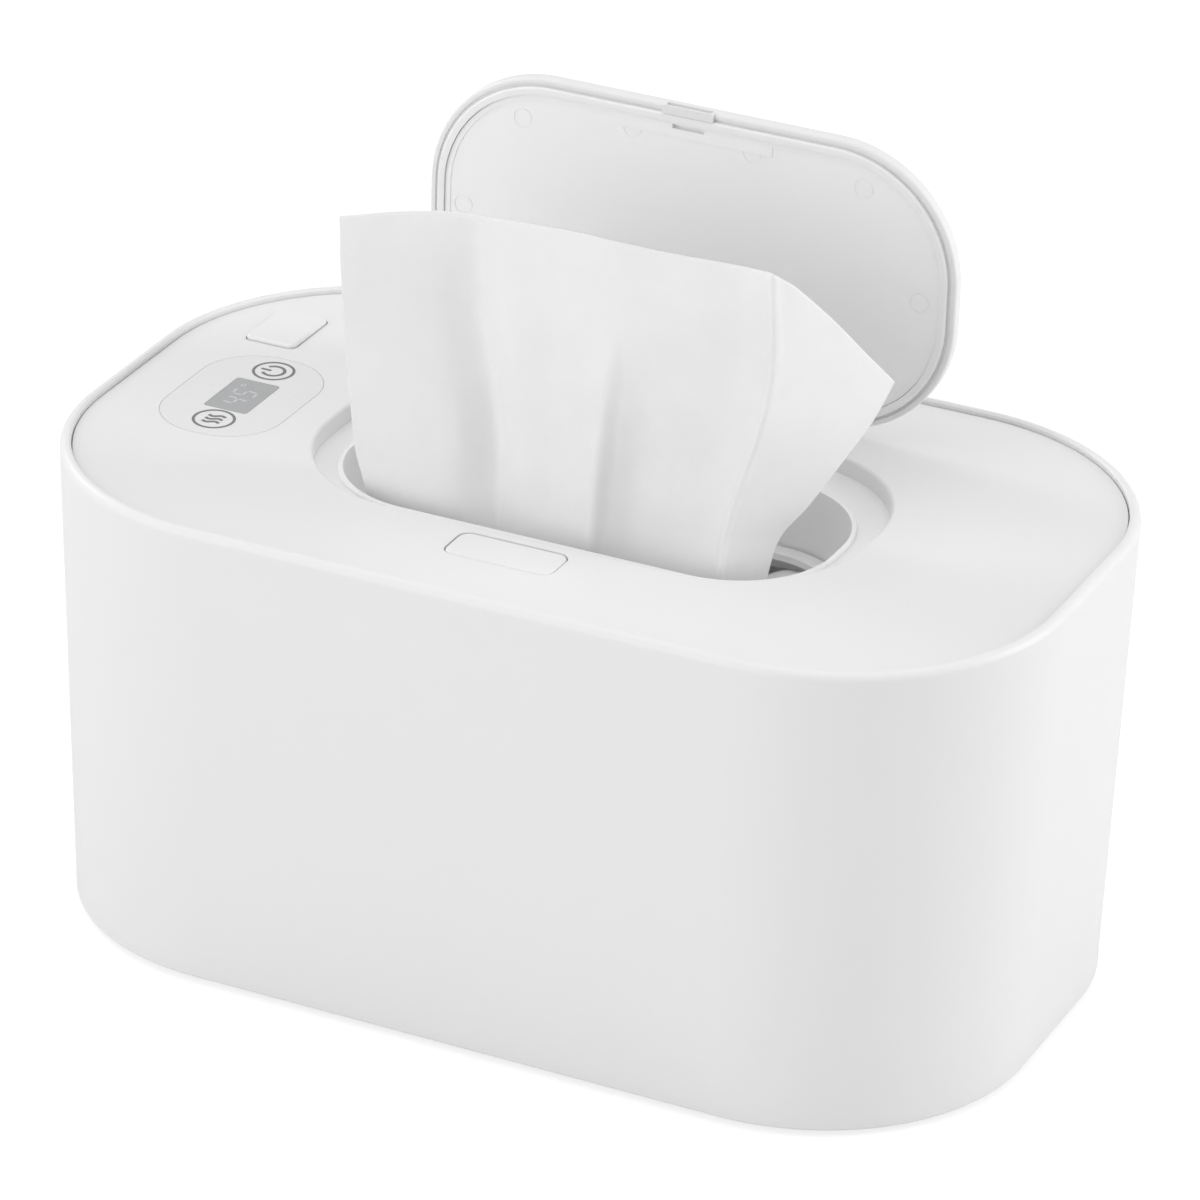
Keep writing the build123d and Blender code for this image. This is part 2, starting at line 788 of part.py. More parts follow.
def blade_prism(inner_gap, outer_gap, half_width, z_low, z_high):
    """The key's 45 degree blade between two heights, widened by the gaps along x."""
    points = []
    for z, outer in ((z_low, False), (z_low, True), (z_high, True), (z_high, False)):
        reach = blade_thickness + outer_gap if outer else -inner_gap
        points.append((blade_line - z + reach, 0, z))
    return extrude(make_face(Polyline(*points, close=True)), amount=half_width, both=True)


def release_guide():
    half = bolt_width / 2 + 1.8
    reach = body_corner - frame_skirt_inset - 0.5
    return corner_frame() * box(guide_tail, reach, -half, half, guide_low_z, frame_under_z + 0.3)


def release_space():
    half = bolt_width / 2 + bolt_gap
    channel = box(bolt_tail - 4, body_corner, -half, half, bolt_z - bolt_gap, bolt_z + bolt_height + bolt_gap)
    room_half = blade_half + 0.3
    room = blade_prism(release_travel + 0.5, 0.5, room_half, guide_low_z - 1, blade_top_z)
    column_x = blade_line - blade_top_z
    room += box(
        column_x - 0.5, column_x + blade_thickness + 0.5, -room_half, room_half,
        blade_top_z - release_travel - 0.3, ledge_z + 1,
    )
    pocket = rod(release_coil_radius + 0.75, spring_floor_z, ledge_z + 1, spring_reach, 0)
    seat_z = panel_under_z - release_flange - release_travel - 0.4
    return corner_frame() * (channel + room + pocket) + release_slab(1.4, seat_z, ledge_z + 1)


def cover_gasket():
    inset = frame_inset + frame_foot_width + 0.5
    ring = drafted(inset, frame_under_z - gasket_height, frame_under_z)
    ring -= drafted(inset + gasket_width, frame_under_z - gasket_height - 1, frame_under_z + 1)
    ring -= body_slab(frame_skirt_inset - 0.3, frame_under_z - gasket_height - 1, frame_under_z + 1)
    return ring


def cover_screws():
    screws = []
    for x, y in screw_points:
        screw = rod(2.5, frame_under_z - 1.6, frame_under_z, x, y)
        screw += rod(cover_shank_radius, frame_under_z - 0.5, panel_z - 1.6, x, y)
        screw -= Pos(x, y, frame_under_z - 1.6) * Box(2.6, 0.6, 1.4)
        screw -= Pos(x, y, frame_under_z - 1.6) * Box(0.6, 2.6, 1.4)
        screws.append(screw)
    return Compound(children=screws)


# ---------------------------------------------------------------- lid, drawn closed
def lid_outer_closed():
    plate = lid_slab(0.0, lid_under_z, panel_z)
    plate = fillet(top_edges(plate), lid_flange_round)
    plate = fillet(bottom_edges(plate), lid_flange_round)
    plate -= lid_slab(lid_flange_width, lid_under_z - 1, lid_under_z + seal_groove_depth)
    plate -= lid_slab(seal_inset, lid_under_z, liner_top_z)
    # hinge shroud: a half barrel with solid knuckles at its ends
    back = lid_y + lid_width / 2
    half = barrel_half_length
    bridge = box(-half, half, back - lid_flange_width, hinge_y, lid_under_z, panel_z)
    barrel = cross_rod(barrel_radius, -half, half, hinge_y, hinge_z)
    shroud = bridge + barrel
    inner = half - knuckle_length
    shroud -= cross_rod(barrel_radius - barrel_wall, -inner, inner, hinge_y, hinge_z)
    shroud -= box(-inner, inner, hinge_y - 10, hinge_y + 1.6, hinge_z - 10, lid_under_z)
    shroud -= cross_rod(hinge_pin_radius + hinge_fit, -half - 1, half + 1, hinge_y, hinge_z)
    lid = plate + shroud
    # catch lug on the front edge, with the pocket that the latch's nose enters
    front = lid_y - lid_width / 2
    lug = box(
        -catch_width / 2, catch_width / 2, front, front + seal_inset - 0.1,
        lid_under_z - catch_stand, lid_under_z + 1,
    )
    lid += lug
    pocket_low = lid_under_z - catch_stand + catch_lip
    lid -= box(
        -catch_width / 2 + 0.6, catch_width / 2 - 0.6, front - 1, front + catch_pocket,
        pocket_low, pocket_low + 1.4,
    )
    return lid


def lid_liner_closed():
    inset = seal_inset + seal_width + 0.1
    low = liner_top_z - liner_thickness
    liner = lid_slab(inset, low, liner_top_z)
    for x, y in pin_marks():
        ring = rod(pin_mark_radius, low - 0.2, low + pin_mark_depth, x, y)
        liner -= ring - rod(pin_mark_radius - 0.35, low - 1, low + 1, x, y)
    # raised bead along the edge, wider round the catch
    bead = lid_slab(inset, low - liner_bead, low + 0.3) - lid_slab(inset + 1.2, low - 1, low + 1)
    front = lid_y - lid_width / 2
    bead += box(-19, 19, front + inset + 0.4, front + inset + 3.4, low - liner_bead, low + 0.3)
    liner += bead
    liner -= box(-3.6, 3.6, front + inset + 0.5, front + inset + 1.5, low - 1, low + 0.9)
    return liner


def pin_marks():
    front = lid_y - lid_width / 2
    side = lid_length / 2 - 8.0
    outer, inner = lid_length * 0.322, lid_length * 0.113
    marks = []
    for sign in (-1, 1):
        marks.append((lid_x + sign * outer, front + 9.8))
        marks.append((lid_x + sign * inner, front + 7.0))
        marks.append((lid_x + sign * side, lid_y))
        marks.append((lid_x + sign * outer, lid_y + 22))
    return marks


def lid_seal_closed():
    low = lid_under_z - seal_stand
    ring = lid_slab(seal_inset, low, liner_top_z)
    ring = fillet(bottom_edges(ring), 0.45)
    return ring - lid_slab(seal_inset + seal_width, low - 1, liner_top_z + 1)


def opened(closed):
    """Turns a lid piece from shut to the upright position that it rests in."""
    there = Pos(0, hinge_y, hinge_z)
    back = Pos(0, -hinge_y, -hinge_z)
    return there * Rot(-90, 0, 0) * back * closed


def hinge_pin():
    half = hinge_pin_half_length - 0.3
    return cross_rod(hinge_pin_radius, -half, half, hinge_y, hinge_z)


def lid_spring():
    """Torsion spring on the pin. Its fixed leg is in the frame, and the other bears in the lid's shroud."""
    height = lid_spring_turns * lid_spring_pitch
    path = Helix(pitch=lid_spring_pitch, height=height, radius=lid_spring_radius)
    section = Plane(origin=path @ 0, z_dir=path % 0) * Circle(lid_spring_wire)
    spring = sweep(section, path=path, is_frenet=True)
    spring = Pos(-height / 2, hinge_y, hinge_z) * Rot(0, 90, 0) * Rot(0, 0, -90) * spring
    leg_y = hinge_y - lid_spring_radius
    spring += spring_leg(lid_spring_wire, -height / 2, hinge_front_y - spring_leg_depth, leg_y)
    bearing_y = hinge_y - barrel_radius + barrel_wall + 0.15
    spring += spring_leg(lid_spring_wire, height / 2, bearing_y, leg_y)
    return spring


def spring_leg(radius, x, y_low, y_high):
    middle = (y_low + y_high) / 2
    return Pos(x, middle, hinge_z + leg_drop) * Rot(90, 0, 0) * Cylinder(radius, y_high - y_low)


def spring_leg_hole():
    height = lid_spring_turns * lid_spring_pitch
    end = hinge_front_y - spring_leg_depth - 0.2
    return spring_leg(lid_spring_wire + 0.1, -height / 2, end, hinge_front_y + 1)


# ---------------------------------------------------------------- front key and latch
def latch_button():
    bottom = panel_under_z - 0.6
    key = key_slab(0.0, bottom, panel_z)
    key = fillet(top_edges(key), 0.4)
    key -= key_slab(-key_wall, bottom - 1, panel_z - key_plate)
    # room for the lever's upright arm behind the key
    key -= box(-6.4, 6.4, key_y, key_y + key_width, bottom - 1, panel_z - key_plate)
    # side lugs keep it under the panel
    for sign in (-1, 1):
        low, high = sorted((sign * (key_length / 2 - 0.2), sign * (key_length / 2 + 1.2)))
        key += box(low, high, key_y - 3, key_y + 3, bottom, bottom + 0.5)
    post_low = lever_z + 1.0
    key += box(-3.0, 3.0, lever_arm_y - 0.6, lever_arm_y + 0.6, post_low, panel_z - key_plate + 0.2)
    return key


def latch_lever():
    half = nose_width / 2
    lever = cross_rod(lever_hub_radius, -half, half, lever_y, lever_z)
    # upright arm with the nose
    nose_low = lid_under_z - catch_stand + catch_lip + 0.1
    nose_top = nose_low + nose_thickness
    arm_front, arm_back = lever_y - 0.6, lever_y + 0.6
    lever += box(-half, half, arm_front, arm_back, lever_z, nose_top)
    tip = lid_y - lid_width / 2 + nose_reach
    nose = box(-half, half, arm_front, tip, nose_low, nose_top)
    nose = chamfer(nose.edges().filter_by(Axis.X).group_by(Axis.Y)[-1].sort_by(Axis.Z)[-1:], 0.35)
    lever += nose
    # front arm under the key's post
    lever += box(-2.8, 2.8, lever_arm_y - 1.6, lever_y, lever_z - 1.0, lever_z + 0.9)
    lever -= cross_rod(latch_pin_radius + 0.05, -half - 1, half + 1, lever_y, lever_z)
    return lever


def latch_pin():
    reach = latch_half + 1.2
    return cross_rod(latch_pin_radius, -reach, reach, lever_y, lever_z)


def latch_pin_holes():
    return cross_rod(latch_pin_radius + 0.05, -latch_half - 1.3, latch_half + 1.3, lever_y, lever_z)


def latch_spring():
    low, high = latch_floor_z + 0.05, lever_z - 1.0 - 0.05
    return coil(latch_wire / 2, latch_coil_radius, low, high, 4, 0.0, lever_arm_y + 0.2)


# ---------------------------------------------------------------- release key and bolt
def release_button():
    top = panel_z + release_stand
    flange_low, flange_top = panel_under_z - release_flange, panel_under_z - 0.1
    key = release_slab(0.0, flange_low, top)
    key = fillet(top_edges(key), 0.6)
    key += release_slab(1.0, flange_low, flange_top)
    column_x = blade_line - blade_top_z
    column = box(column_x, column_x + blade_thickness, -blade_half, blade_half, blade_top_z, flange_top)
    blade = blade_prism(0.0, 0.0, blade_half, blade_low_z, blade_top_z)
    peg = rod(1.0, flange_low - 1.6, flange_top, spring_reach, 0)
    return key + corner_frame() * (column + blade + peg)


def release_bolt():
    bolt = box(bolt_tail, bolt_tip, -bolt_width / 2, bolt_width / 2, bolt_z, bolt_z + bolt_height)
    nose_edges = bolt.edges().filter_by(Axis.Y).group_by(Axis.X)[-1].sort_by(Axis.Z)[:1]
    bolt = chamfer(nose_edges, 0.8)
    bolt -= blade_prism(0.12, 0.12, blade_half + 0.15, bolt_z - 1, bolt_z + bolt_height + 1)
    return corner_frame() * bolt


def release_spring():
    low, high = spring_floor_z + 0.05, panel_under_z - release_flange - 0.05
    return corner_frame() * coil(0.22, release_coil_radius, low, high, 5, spring_reach, 0)


# ---------------------------------------------------------------- wipes
stack_top_z = tank_floor_z + soft_gap + stack_height


def wipe_stack():
    low = tank_floor_z + soft_gap
    stack = slab(stack_length, stack_width, stack_corner, low, stack_top_z)
    return fillet(top_edges(stack), 3)


def sheet_point(x, z):
    """A point of the pulled-up sheet's outline, seen from the front, in shares of the opening's length."""
    return (lid_x + x * mouth_length, panel_z + z * mouth_length)


def wipe():
    """The pulled-up sheet: a curved plan line, cut to the sheet's outline from the front."""
    line = [
        (-0.549, -0.098), (-0.261, -0.095), (0.009, -0.115), (0.261, -0.094),
        (0.378, -0.080), (0.441, 0.023), (0.531, 0.203),
    ]
    plan = Spline(*[(lid_x + x * mouth_length, mouth_y + y * mouth_length) for x, y in line])
    low = stack_top_z + soft_gap
    strip = extrude(Pos(0, 0, low - 5) * trace(plan, wipe_thickness), amount=mouth_length)
    start = (lid_x - 0.333 * mouth_length, low)
    left = Spline(
        start, sheet_point(-0.351, -0.169), sheet_point(-0.437, -0.043),
        sheet_point(-0.468, 0.407), sheet_point(-0.450, 0.465),
    )
    crown = Spline(
        left @ 1, sheet_point(-0.225, 0.510), sheet_point(0.225, 0.528),
        sheet_point(0.360, 0.492), sheet_point(0.518, 0.254),
    )
    end = (lid_x + 0.261 * mouth_length, low)
    right = Spline(
        crown @ 1, sheet_point(0.509, 0.213), sheet_point(0.387, 0.065),
        sheet_point(0.315, -0.061), sheet_point(0.279, -0.169), end,
    )
    foot = Line(right @ 1, left @ 0)
    mask = extrude(Plane.XZ * make_face([left, crown, right, foot]), amount=body_width, both=True)
    return strip & mask


# ---------------------------------------------------------------- writing
def parts():
    yield "outer_casing", outer_casing()
    yield "base_plate", base_plate_part()
    yield "rubber_feet", rubber_feet()
    yield "base_screws", base_screws()
    yield "inner_tank", inner_tank()
    yield "heating_plate", heating_plate()
    yield "heating_film", heating_film()
    yield "insulation_pad", insulation_pad()
    yield "temperature_sensor", temperature_sensor()
    yield "thermal_fuse", thermal_fuse()
    yield "power_board", power_board()
    yield "power_socket", power_socket()
    yield "contact_block", contact_block()
    yield "contact_pins", contact_pins()
    yield "contact_pads", contact_pads()
    yield "wipe_stack", wipe_stack()
    yield "top_panel", top_panel()
    yield "cover_frame", cover_frame()
    yield "cover_gasket", cover_gasket()
    yield "cover_screws", cover_screws()
    yield "control_overlay", control_overlay()
    yield "display_window", display_window()
    yield "display_module", display_module()
    yield "control_board", control_board()
    yield "touch_springs", touch_springs()
    yield "hinge_pin", hinge_pin()
    yield "lid_spring", lid_spring()
    yield "lid_outer", opened(lid_outer_closed())
    yield "lid_liner", opened(lid_liner_closed())
    yield "lid_seal", opened(lid_seal_closed())
    yield "latch_button", latch_button()
    yield "latch_lever", latch_lever()
    yield "latch_pin", latch_pin()
    yield "latch_spring", latch_spring()
    yield "release_button", release_button()
    yield "release_bolt", release_bolt()
    yield "release_spring", release_spring()
    yield "wipe", wipe()


def main():
    os.makedirs("parts", exist_ok=True)
    for name, shape in parts():
        export_step(shape, f"parts/{name}.step")


main()
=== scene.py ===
import math
import random

import bmesh
import bpy
import numpy as np
from mathutils import Matrix, Vector


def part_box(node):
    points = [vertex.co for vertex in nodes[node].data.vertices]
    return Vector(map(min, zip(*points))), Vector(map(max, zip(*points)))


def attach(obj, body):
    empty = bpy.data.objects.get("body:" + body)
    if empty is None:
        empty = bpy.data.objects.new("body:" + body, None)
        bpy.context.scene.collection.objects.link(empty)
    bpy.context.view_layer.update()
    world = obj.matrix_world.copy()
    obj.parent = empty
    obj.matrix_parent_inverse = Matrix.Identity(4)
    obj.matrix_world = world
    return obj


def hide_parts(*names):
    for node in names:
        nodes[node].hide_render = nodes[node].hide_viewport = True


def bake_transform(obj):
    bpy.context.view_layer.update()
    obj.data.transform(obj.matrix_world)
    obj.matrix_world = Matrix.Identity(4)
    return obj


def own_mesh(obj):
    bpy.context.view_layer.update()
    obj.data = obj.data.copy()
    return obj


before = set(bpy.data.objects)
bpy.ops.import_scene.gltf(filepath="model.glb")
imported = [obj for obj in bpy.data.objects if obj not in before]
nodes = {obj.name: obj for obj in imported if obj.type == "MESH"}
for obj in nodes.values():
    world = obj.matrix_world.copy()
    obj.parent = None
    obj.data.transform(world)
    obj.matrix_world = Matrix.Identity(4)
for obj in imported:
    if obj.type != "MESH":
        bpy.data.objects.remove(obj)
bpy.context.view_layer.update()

MM = 0.001
PHOTO_PIXELS = 1200

# ---------------------------------------------------------------- camera of the photograph
CAMERA_PLACE = Vector((535.6, -1156.9, 715.9)) * MM
CAMERA_AZIMUTH = 24.84         # degrees, about the object from its front
CAMERA_ELEVATION = 27.17
CAMERA_ROLL = 1.69
FOCAL_PIXELS = 6880.0          # in the 1200 pixel picture
AXIS_PIXEL = (591.9, 660.55)   # where the lens's axis meets the picture
SENSOR = 36.0


def camera_axes():
    """The camera's right, up and aim in the photograph, before the crop."""
    az, el, roll = (math.radians(v) for v in (CAMERA_AZIMUTH, CAMERA_ELEVATION, CAMERA_ROLL))
    aim = Vector((-math.sin(az) * math.cos(el), math.cos(az) * math.cos(el), -math.sin(el)))
    level = Vector((math.cos(az), math.sin(az), 0))
    upright = level.cross(aim)
    right = level * math.cos(roll) + upright * math.sin(roll)
    up = upright * math.cos(roll) - level * math.sin(roll)
    return right, up, aim


def pixel_ray(px, py):
    right, up, aim = camera_axes()
    return aim + right * (px - AXIS_PIXEL[0]) / FOCAL_PIXELS + up * (AXIS_PIXEL[1] - py) / FOCAL_PIXELS


def photo_point(px, py, depth):
    """The point, in millimetres, where a pixel of the photograph meets the upright plane y = depth."""
    ray = pixel_ray(px, py)
    start = CAMERA_PLACE / MM
    return start + ray * ((depth - start.y) / ray.y)


def make_camera():
    """The photograph is a crop, so the camera is turned until its axis meets the picture's middle."""
    right, up, _ = camera_axes()
    aim = pixel_ray(PHOTO_PIXELS / 2, PHOTO_PIXELS / 2).normalized()
    right = (right - aim * right.dot(aim)).normalized()
    up = right.cross(aim)
    camera = bpy.data.objects.new("camera", bpy.data.cameras.new("camera"))
    bpy.context.scene.collection.objects.link(camera)
    camera.matrix_world = Matrix.Translation(CAMERA_PLACE) @ Matrix((right, up, -aim)).transposed().to_4x4()
    camera.data.sensor_width = SENSOR
    camera.data.lens = FOCAL_PIXELS / PHOTO_PIXELS * SENSOR
    camera.data.clip_start = 0.05
    camera.data.clip_end = 20
    bpy.context.scene.camera = camera


# ---------------------------------------------------------------- light, floor and backdrop
WORLD_LEVEL = 0.653            # what the surroundings give; they are seen as white
LIGHT_TARGET = Vector((0, 0, 0.07))
LIGHTS = [
    # name, degrees about the object from its front, degrees up, metres away, size in metres, watts
    ("front_low", -30, 15, 1.6, (1.2, 1.2), 7.85),
    ("overhead", 0, 85, 1.6, (2.0, 2.0), 7.6),
    ("left_back", -105, 30, 1.6, (0.5, 0.5), 3.8),
    ("side_right", 116, 16, 1.5, (0.6, 1.0), 9.0),
]
FLOOR_HALF = 3.0
FLOOR_GREY = 0.80              # as other surfaces meet it
FLOOR_SHADOWED = 0.34          # as the camera sees it: a part that takes shadows,
FLOOR_GLOW = 0.76              # and a part that doesn't


def area_light(name, azimuth, elevation, distance, size, power):
    """A soft rectangular light, aimed at the object."""
    az, el = math.radians(azimuth), math.radians(elevation)
    back = Vector((math.sin(az) * math.cos(el), -math.cos(az) * math.cos(el), math.sin(el)))
    data = bpy.data.lights.new(name, "AREA")
    data.shape = "RECTANGLE"
    data.size, data.size_y = size
    data.energy = power
    lamp = bpy.data.objects.new(name, data)
    bpy.context.scene.collection.objects.link(lamp)
    lamp.location = LIGHT_TARGET + back * distance
    lamp.rotation_mode = "QUATERNION"
    lamp.rotation_quaternion = (-back).to_track_quat("-Z", "Y")


def seen_rays(tree):
    """1 for rays that show the background: camera and transmission rays."""
    path = tree.nodes.new("ShaderNodeLightPath")
    seen = tree.nodes.new("ShaderNodeMath")
    seen.operation = "MAXIMUM"
    tree.links.new(path.outputs["Is Camera Ray"], seen.inputs[0])
    tree.links.new(path.outputs["Is Transmission Ray"], seen.inputs[1])
    return seen


def make_world(level):
    world = bpy.data.worlds.new("studio")
    bpy.context.scene.world = world
    world.use_nodes = True
    tree = world.node_tree
    tree.nodes.clear()
    light = tree.nodes.new("ShaderNodeBackground")
    light.inputs["Color"].default_value = (1, 1, 1, 1)
    light.inputs["Strength"].default_value = level
    white = tree.nodes.new("ShaderNodeBackground")
    white.inputs["Color"].default_value = (1, 1, 1, 1)
    white.inputs["Strength"].default_value = 1.0
    mix = tree.nodes.new("ShaderNodeMixShader")
    out = tree.nodes.new("ShaderNodeOutputWorld")
    seen = seen_rays(tree)
    tree.links.new(seen.outputs[0], mix.inputs[0])
    tree.links.new(light.outputs[0], mix.inputs[1])
    tree.links.new(white.outputs[0], mix.inputs[2])
    tree.links.new(mix.outputs[0], out.inputs[0])


def make_floor():
    mesh = bpy.data.meshes.new("floor")
    corners = [(x * FLOOR_HALF, y * FLOOR_HALF, 0) for x, y in ((-1, -1), (1, -1), (1, 1), (-1, 1))]
    mesh.from_pydata(corners, [], [(0, 1, 2, 3)])
    floor = bpy.data.objects.new("floor", mesh)
    bpy.context.scene.collection.objects.link(floor)
    material = bpy.data.materials.new("floor_white")
    material.use_nodes = True
    tree = material.node_tree
    tree.nodes.clear()
    plain = tree.nodes.new("ShaderNodeBsdfDiffuse")
    plain.inputs["Color"].default_value = (FLOOR_GREY, FLOOR_GREY, FLOOR_GREY, 1)
    shadowed = tree.nodes.new("ShaderNodeBsdfDiffuse")
    shadowed.inputs["Color"].default_value = (FLOOR_SHADOWED, FLOOR_SHADOWED, FLOOR_SHADOWED, 1)
    glow = tree.nodes.new("ShaderNodeEmission")
    glow.inputs["Color"].default_value = (1, 1, 1, 1)
    glow.inputs["Strength"].default_value = FLOOR_GLOW
    add = tree.nodes.new("ShaderNodeAddShader")
    mix = tree.nodes.new("ShaderNodeMixShader")
    out = tree.nodes.new("ShaderNodeOutputMaterial")
    seen = seen_rays(tree)
    tree.links.new(shadowed.outputs[0], add.inputs[0])
    tree.links.new(glow.outputs[0], add.inputs[1])
    tree.links.new(seen.outputs[0], mix.inputs[0])
    tree.links.new(plain.outputs[0], mix.inputs[1])
    tree.links.new(add.outputs[0], mix.inputs[2])
    tree.links.new(mix.outputs[0], out.inputs[0])
    mesh.materials.append(material)


# ---------------------------------------------------------------- materials
def new_material(name):
    material = bpy.data.materials.new(name)
    material.use_nodes = True
    tree = material.node_tree
    return material, tree, tree.nodes["Principled BSDF"]


def object_coordinates(tree, stretch=(1, 1, 1)):
    source = tree.nodes.new("ShaderNodeTexCoord")
    mapping = tree.nodes.new("ShaderNodeMapping")
    mapping.inputs["Scale"].default_value = stretch
    tree.links.new(source.outputs["Object"], mapping.inputs["Vector"])
    return mapping.outputs["Vector"]


def noise(tree, vector, scale, detail=3.0, roughness=0.55):
    node = tree.nodes.new("ShaderNodeTexNoise")
    node.inputs["Scale"].default_value = scale
    node.inputs["Detail"].default_value = detail
    node.inputs["Roughness"].default_value = roughness
    tree.links.new(vector, node.inputs["Vector"])
    return node.outputs["Fac"]


def spread(tree, value, low, high):
    """Maps a 0 to 1 pattern onto a range."""
    node = tree.nodes.new("ShaderNodeMapRange")
    node.inputs["From Min"].default_value = 0.3
    node.inputs["From Max"].default_value = 0.7
    node.inputs["To Min"].default_value = low
    node.inputs["To Max"].default_value = high
    tree.links.new(value, node.inputs["Value"])
    return node.outputs["Result"]


def blend_colours(tree, factor, first, second):
    node = tree.nodes.new("ShaderNodeMix")
    node.data_type = "RGBA"
    node.inputs["A"].default_value = (*first, 1)
    node.inputs["B"].default_value = (*second, 1)
    tree.links.new(factor, node.inputs["Factor"])
    return node.outputs["Result"]


def bump(tree, height, distance, strength=1.0, under=None):
    node = tree.nodes.new("ShaderNodeBump")
    node.inputs["Distance"].default_value = distance
    node.inputs["Strength"].default_value = strength
    tree.links.new(height, node.inputs["Height"])
    if under is not None:
        tree.links.new(under, node.inputs["Normal"])
    return node.outputs["Normal"]


def shade(colour, amount):
    return tuple(min(1.0, c * amount) for c in colour)


def moulded_plastic(name, colour, roughness=0.42, grain=0.000012, grain_scale=2600, glow=0.06, vary=0.985,
                    painted_glow=0.0):
    """Injection moulded plastic: fine spark-eroded grain, faint flow marks and a little light inside.

    The last argument is painted light: an even glow from emission, in place of the light that comes through a
    thin wall from its other side.
    """
    material, tree, surface = new_material(name)
    vector = object_coordinates(tree)
    flow = noise(tree, vector, 22, detail=2)
    fine = noise(tree, vector, grain_scale, detail=2)
    wear = noise(tree, vector, 90, detail=4)
    tree.links.new(blend_colours(tree, flow, shade(colour, vary), colour), surface.inputs["Base Color"])
    tree.links.new(spread(tree, wear, roughness - 0.04, roughness + 0.04), surface.inputs["Roughness"])
    tree.links.new(bump(tree, fine, grain, 0.6), surface.inputs["Normal"])
    surface.inputs["Subsurface Weight"].default_value = glow
    surface.inputs["Subsurface Radius"].default_value = (0.004, 0.004, 0.004)
    surface.inputs["Subsurface Scale"].default_value = 1.0
    surface.inputs["IOR"].default_value = 1.49
    # painted light: an even emitted glow, so the part is lit though it is no lamp
    surface.inputs["Emission Color"].default_value = (1, 1, 1, 1)
    surface.inputs["Emission Strength"].default_value = painted_glow
    return material


def silicone(name, colour):
    material, tree, surface = new_material(name)
    vector = object_coordinates(tree)
    dust = noise(tree, vector, 400, detail=4)
    tree.links.new(blend_colours(tree, dust, shade(colour, 0.95), colour), surface.inputs["Base Color"])
    tree.links.new(spread(tree, dust, 0.5, 0.65), surface.inputs["Roughness"])
    tree.links.new(bump(tree, noise(tree, vector, 1500), 0.00002, 0.5), surface.inputs["Normal"])
    surface.inputs["Subsurface Weight"].default_value = 0.15
    surface.inputs["Subsurface Radius"].default_value = (0.003, 0.003, 0.003)
    surface.inputs["Subsurface Scale"].default_value = 1.0
    return material


def brushed_metal(name, colour, roughness=0.3, stretch=(1, 40, 40)):
    material, tree, surface = new_material(name)
    lines = noise(tree, object_coordinates(tree, stretch), 300, detail=4)
    tree.links.new(blend_colours(tree, lines, shade(colour, 0.85), colour), surface.inputs["Base Color"])
    tree.links.new(spread(tree, lines, roughness - 0.08, roughness + 0.1), surface.inputs["Roughness"])
    tree.links.new(bump(tree, lines, 0.00002, 0.4), surface.inputs["Normal"])
    surface.inputs["Metallic"].default_value = 1.0
    return material


def circuit_board(name):
    """Green solder mask over copper tracks, from a fine grid of cells."""
    material, tree, surface = new_material(name)
    vector = object_coordinates(tree)
    cells = tree.nodes.new("ShaderNodeTexVoronoi")
    cells.distance = "MANHATTAN"
    cells.feature = "DISTANCE_TO_EDGE"
    cells.inputs["Scale"].default_value = 260
    tree.links.new(vector, cells.inputs["Vector"])
    track = tree.nodes.new("ShaderNodeMath")
    track.operation = "LESS_THAN"
    track.inputs[1].default_value = 0.09
    tree.links.new(cells.outputs["Distance"], track.inputs[0])
    mask = blend_colours(tree, track.outputs[0], (0.012, 0.10, 0.045), (0.03, 0.20, 0.08))
    tree.links.new(mask, surface.inputs["Base Color"])
    tree.links.new(bump(tree, track.outputs[0], 0.00003, 0.5), surface.inputs["Normal"])
    surface.inputs["Roughness"].default_value = 0.35
    return material


def foam(name, colour):
    material, tree, surface = new_material(name)
    vector = object_coordinates(tree)
    pores = tree.nodes.new("ShaderNodeTexVoronoi")
    pores.inputs["Scale"].default_value = 900
    tree.links.new(vector, pores.inputs["Vector"])
    # painted shade: the colour is darker towards each pore's middle, as shade in the pores
    body = blend_colours(tree, pores.outputs["Distance"], shade(colour, 0.6), colour)
    tree.links.new(body, surface.inputs["Base Color"])
    tree.links.new(bump(tree, pores.outputs["Distance"], 0.0003, 0.7), surface.inputs["Normal"])
    surface.inputs["Roughness"].default_value = 0.9
    return material


def wet_wipe(name):
    """Spunlace non-woven: two crossing sets of fibres, small tufts and a moist, slightly clear body."""
    material, tree, surface = new_material(name)
    along = noise(tree, object_coordinates(tree, (1.0, 1.0, 0.16)), 1500, detail=4, roughness=0.6)
    across = noise(tree, object_coordinates(tree, (0.22, 0.22, 1.0)), 1300, detail=4, roughness=0.6)
    cloud = noise(tree, object_coordinates(tree), 120, detail=5, roughness=0.6)
    both = tree.nodes.new("ShaderNodeMath")
    both.operation = "ADD"
    tree.links.new(along, both.inputs[0])
    tree.links.new(across, both.inputs[1])
    half = tree.nodes.new("ShaderNodeMath")
    half.operation = "MULTIPLY"
    half.inputs[1].default_value = 0.5
    tree.links.new(both.outputs[0], half.inputs[0])
    tree.links.new(
        blend_colours(tree, spread(tree, cloud, 0, 1), (0.765, 0.765, 0.765), (0.79, 0.79, 0.79)),
        surface.inputs["Base Color"],
    )
    tree.links.new(spread(tree, cloud, 0.6, 0.78), surface.inputs["Roughness"])
    soft = bump(tree, cloud, 0.0002, 0.25)
    tree.links.new(bump(tree, half.outputs[0], 0.00006, 0.5, under=soft), surface.inputs["Normal"])
    surface.inputs["Subsurface Weight"].default_value = 0.4
    surface.inputs["Subsurface Radius"].default_value = (0.002, 0.002, 0.002)
    surface.inputs["Subsurface Scale"].default_value = 1.0
    surface.inputs["Sheen Weight"].default_value = 0.12
    surface.inputs["Sheen Roughness"].default_value = 0.5
    return material


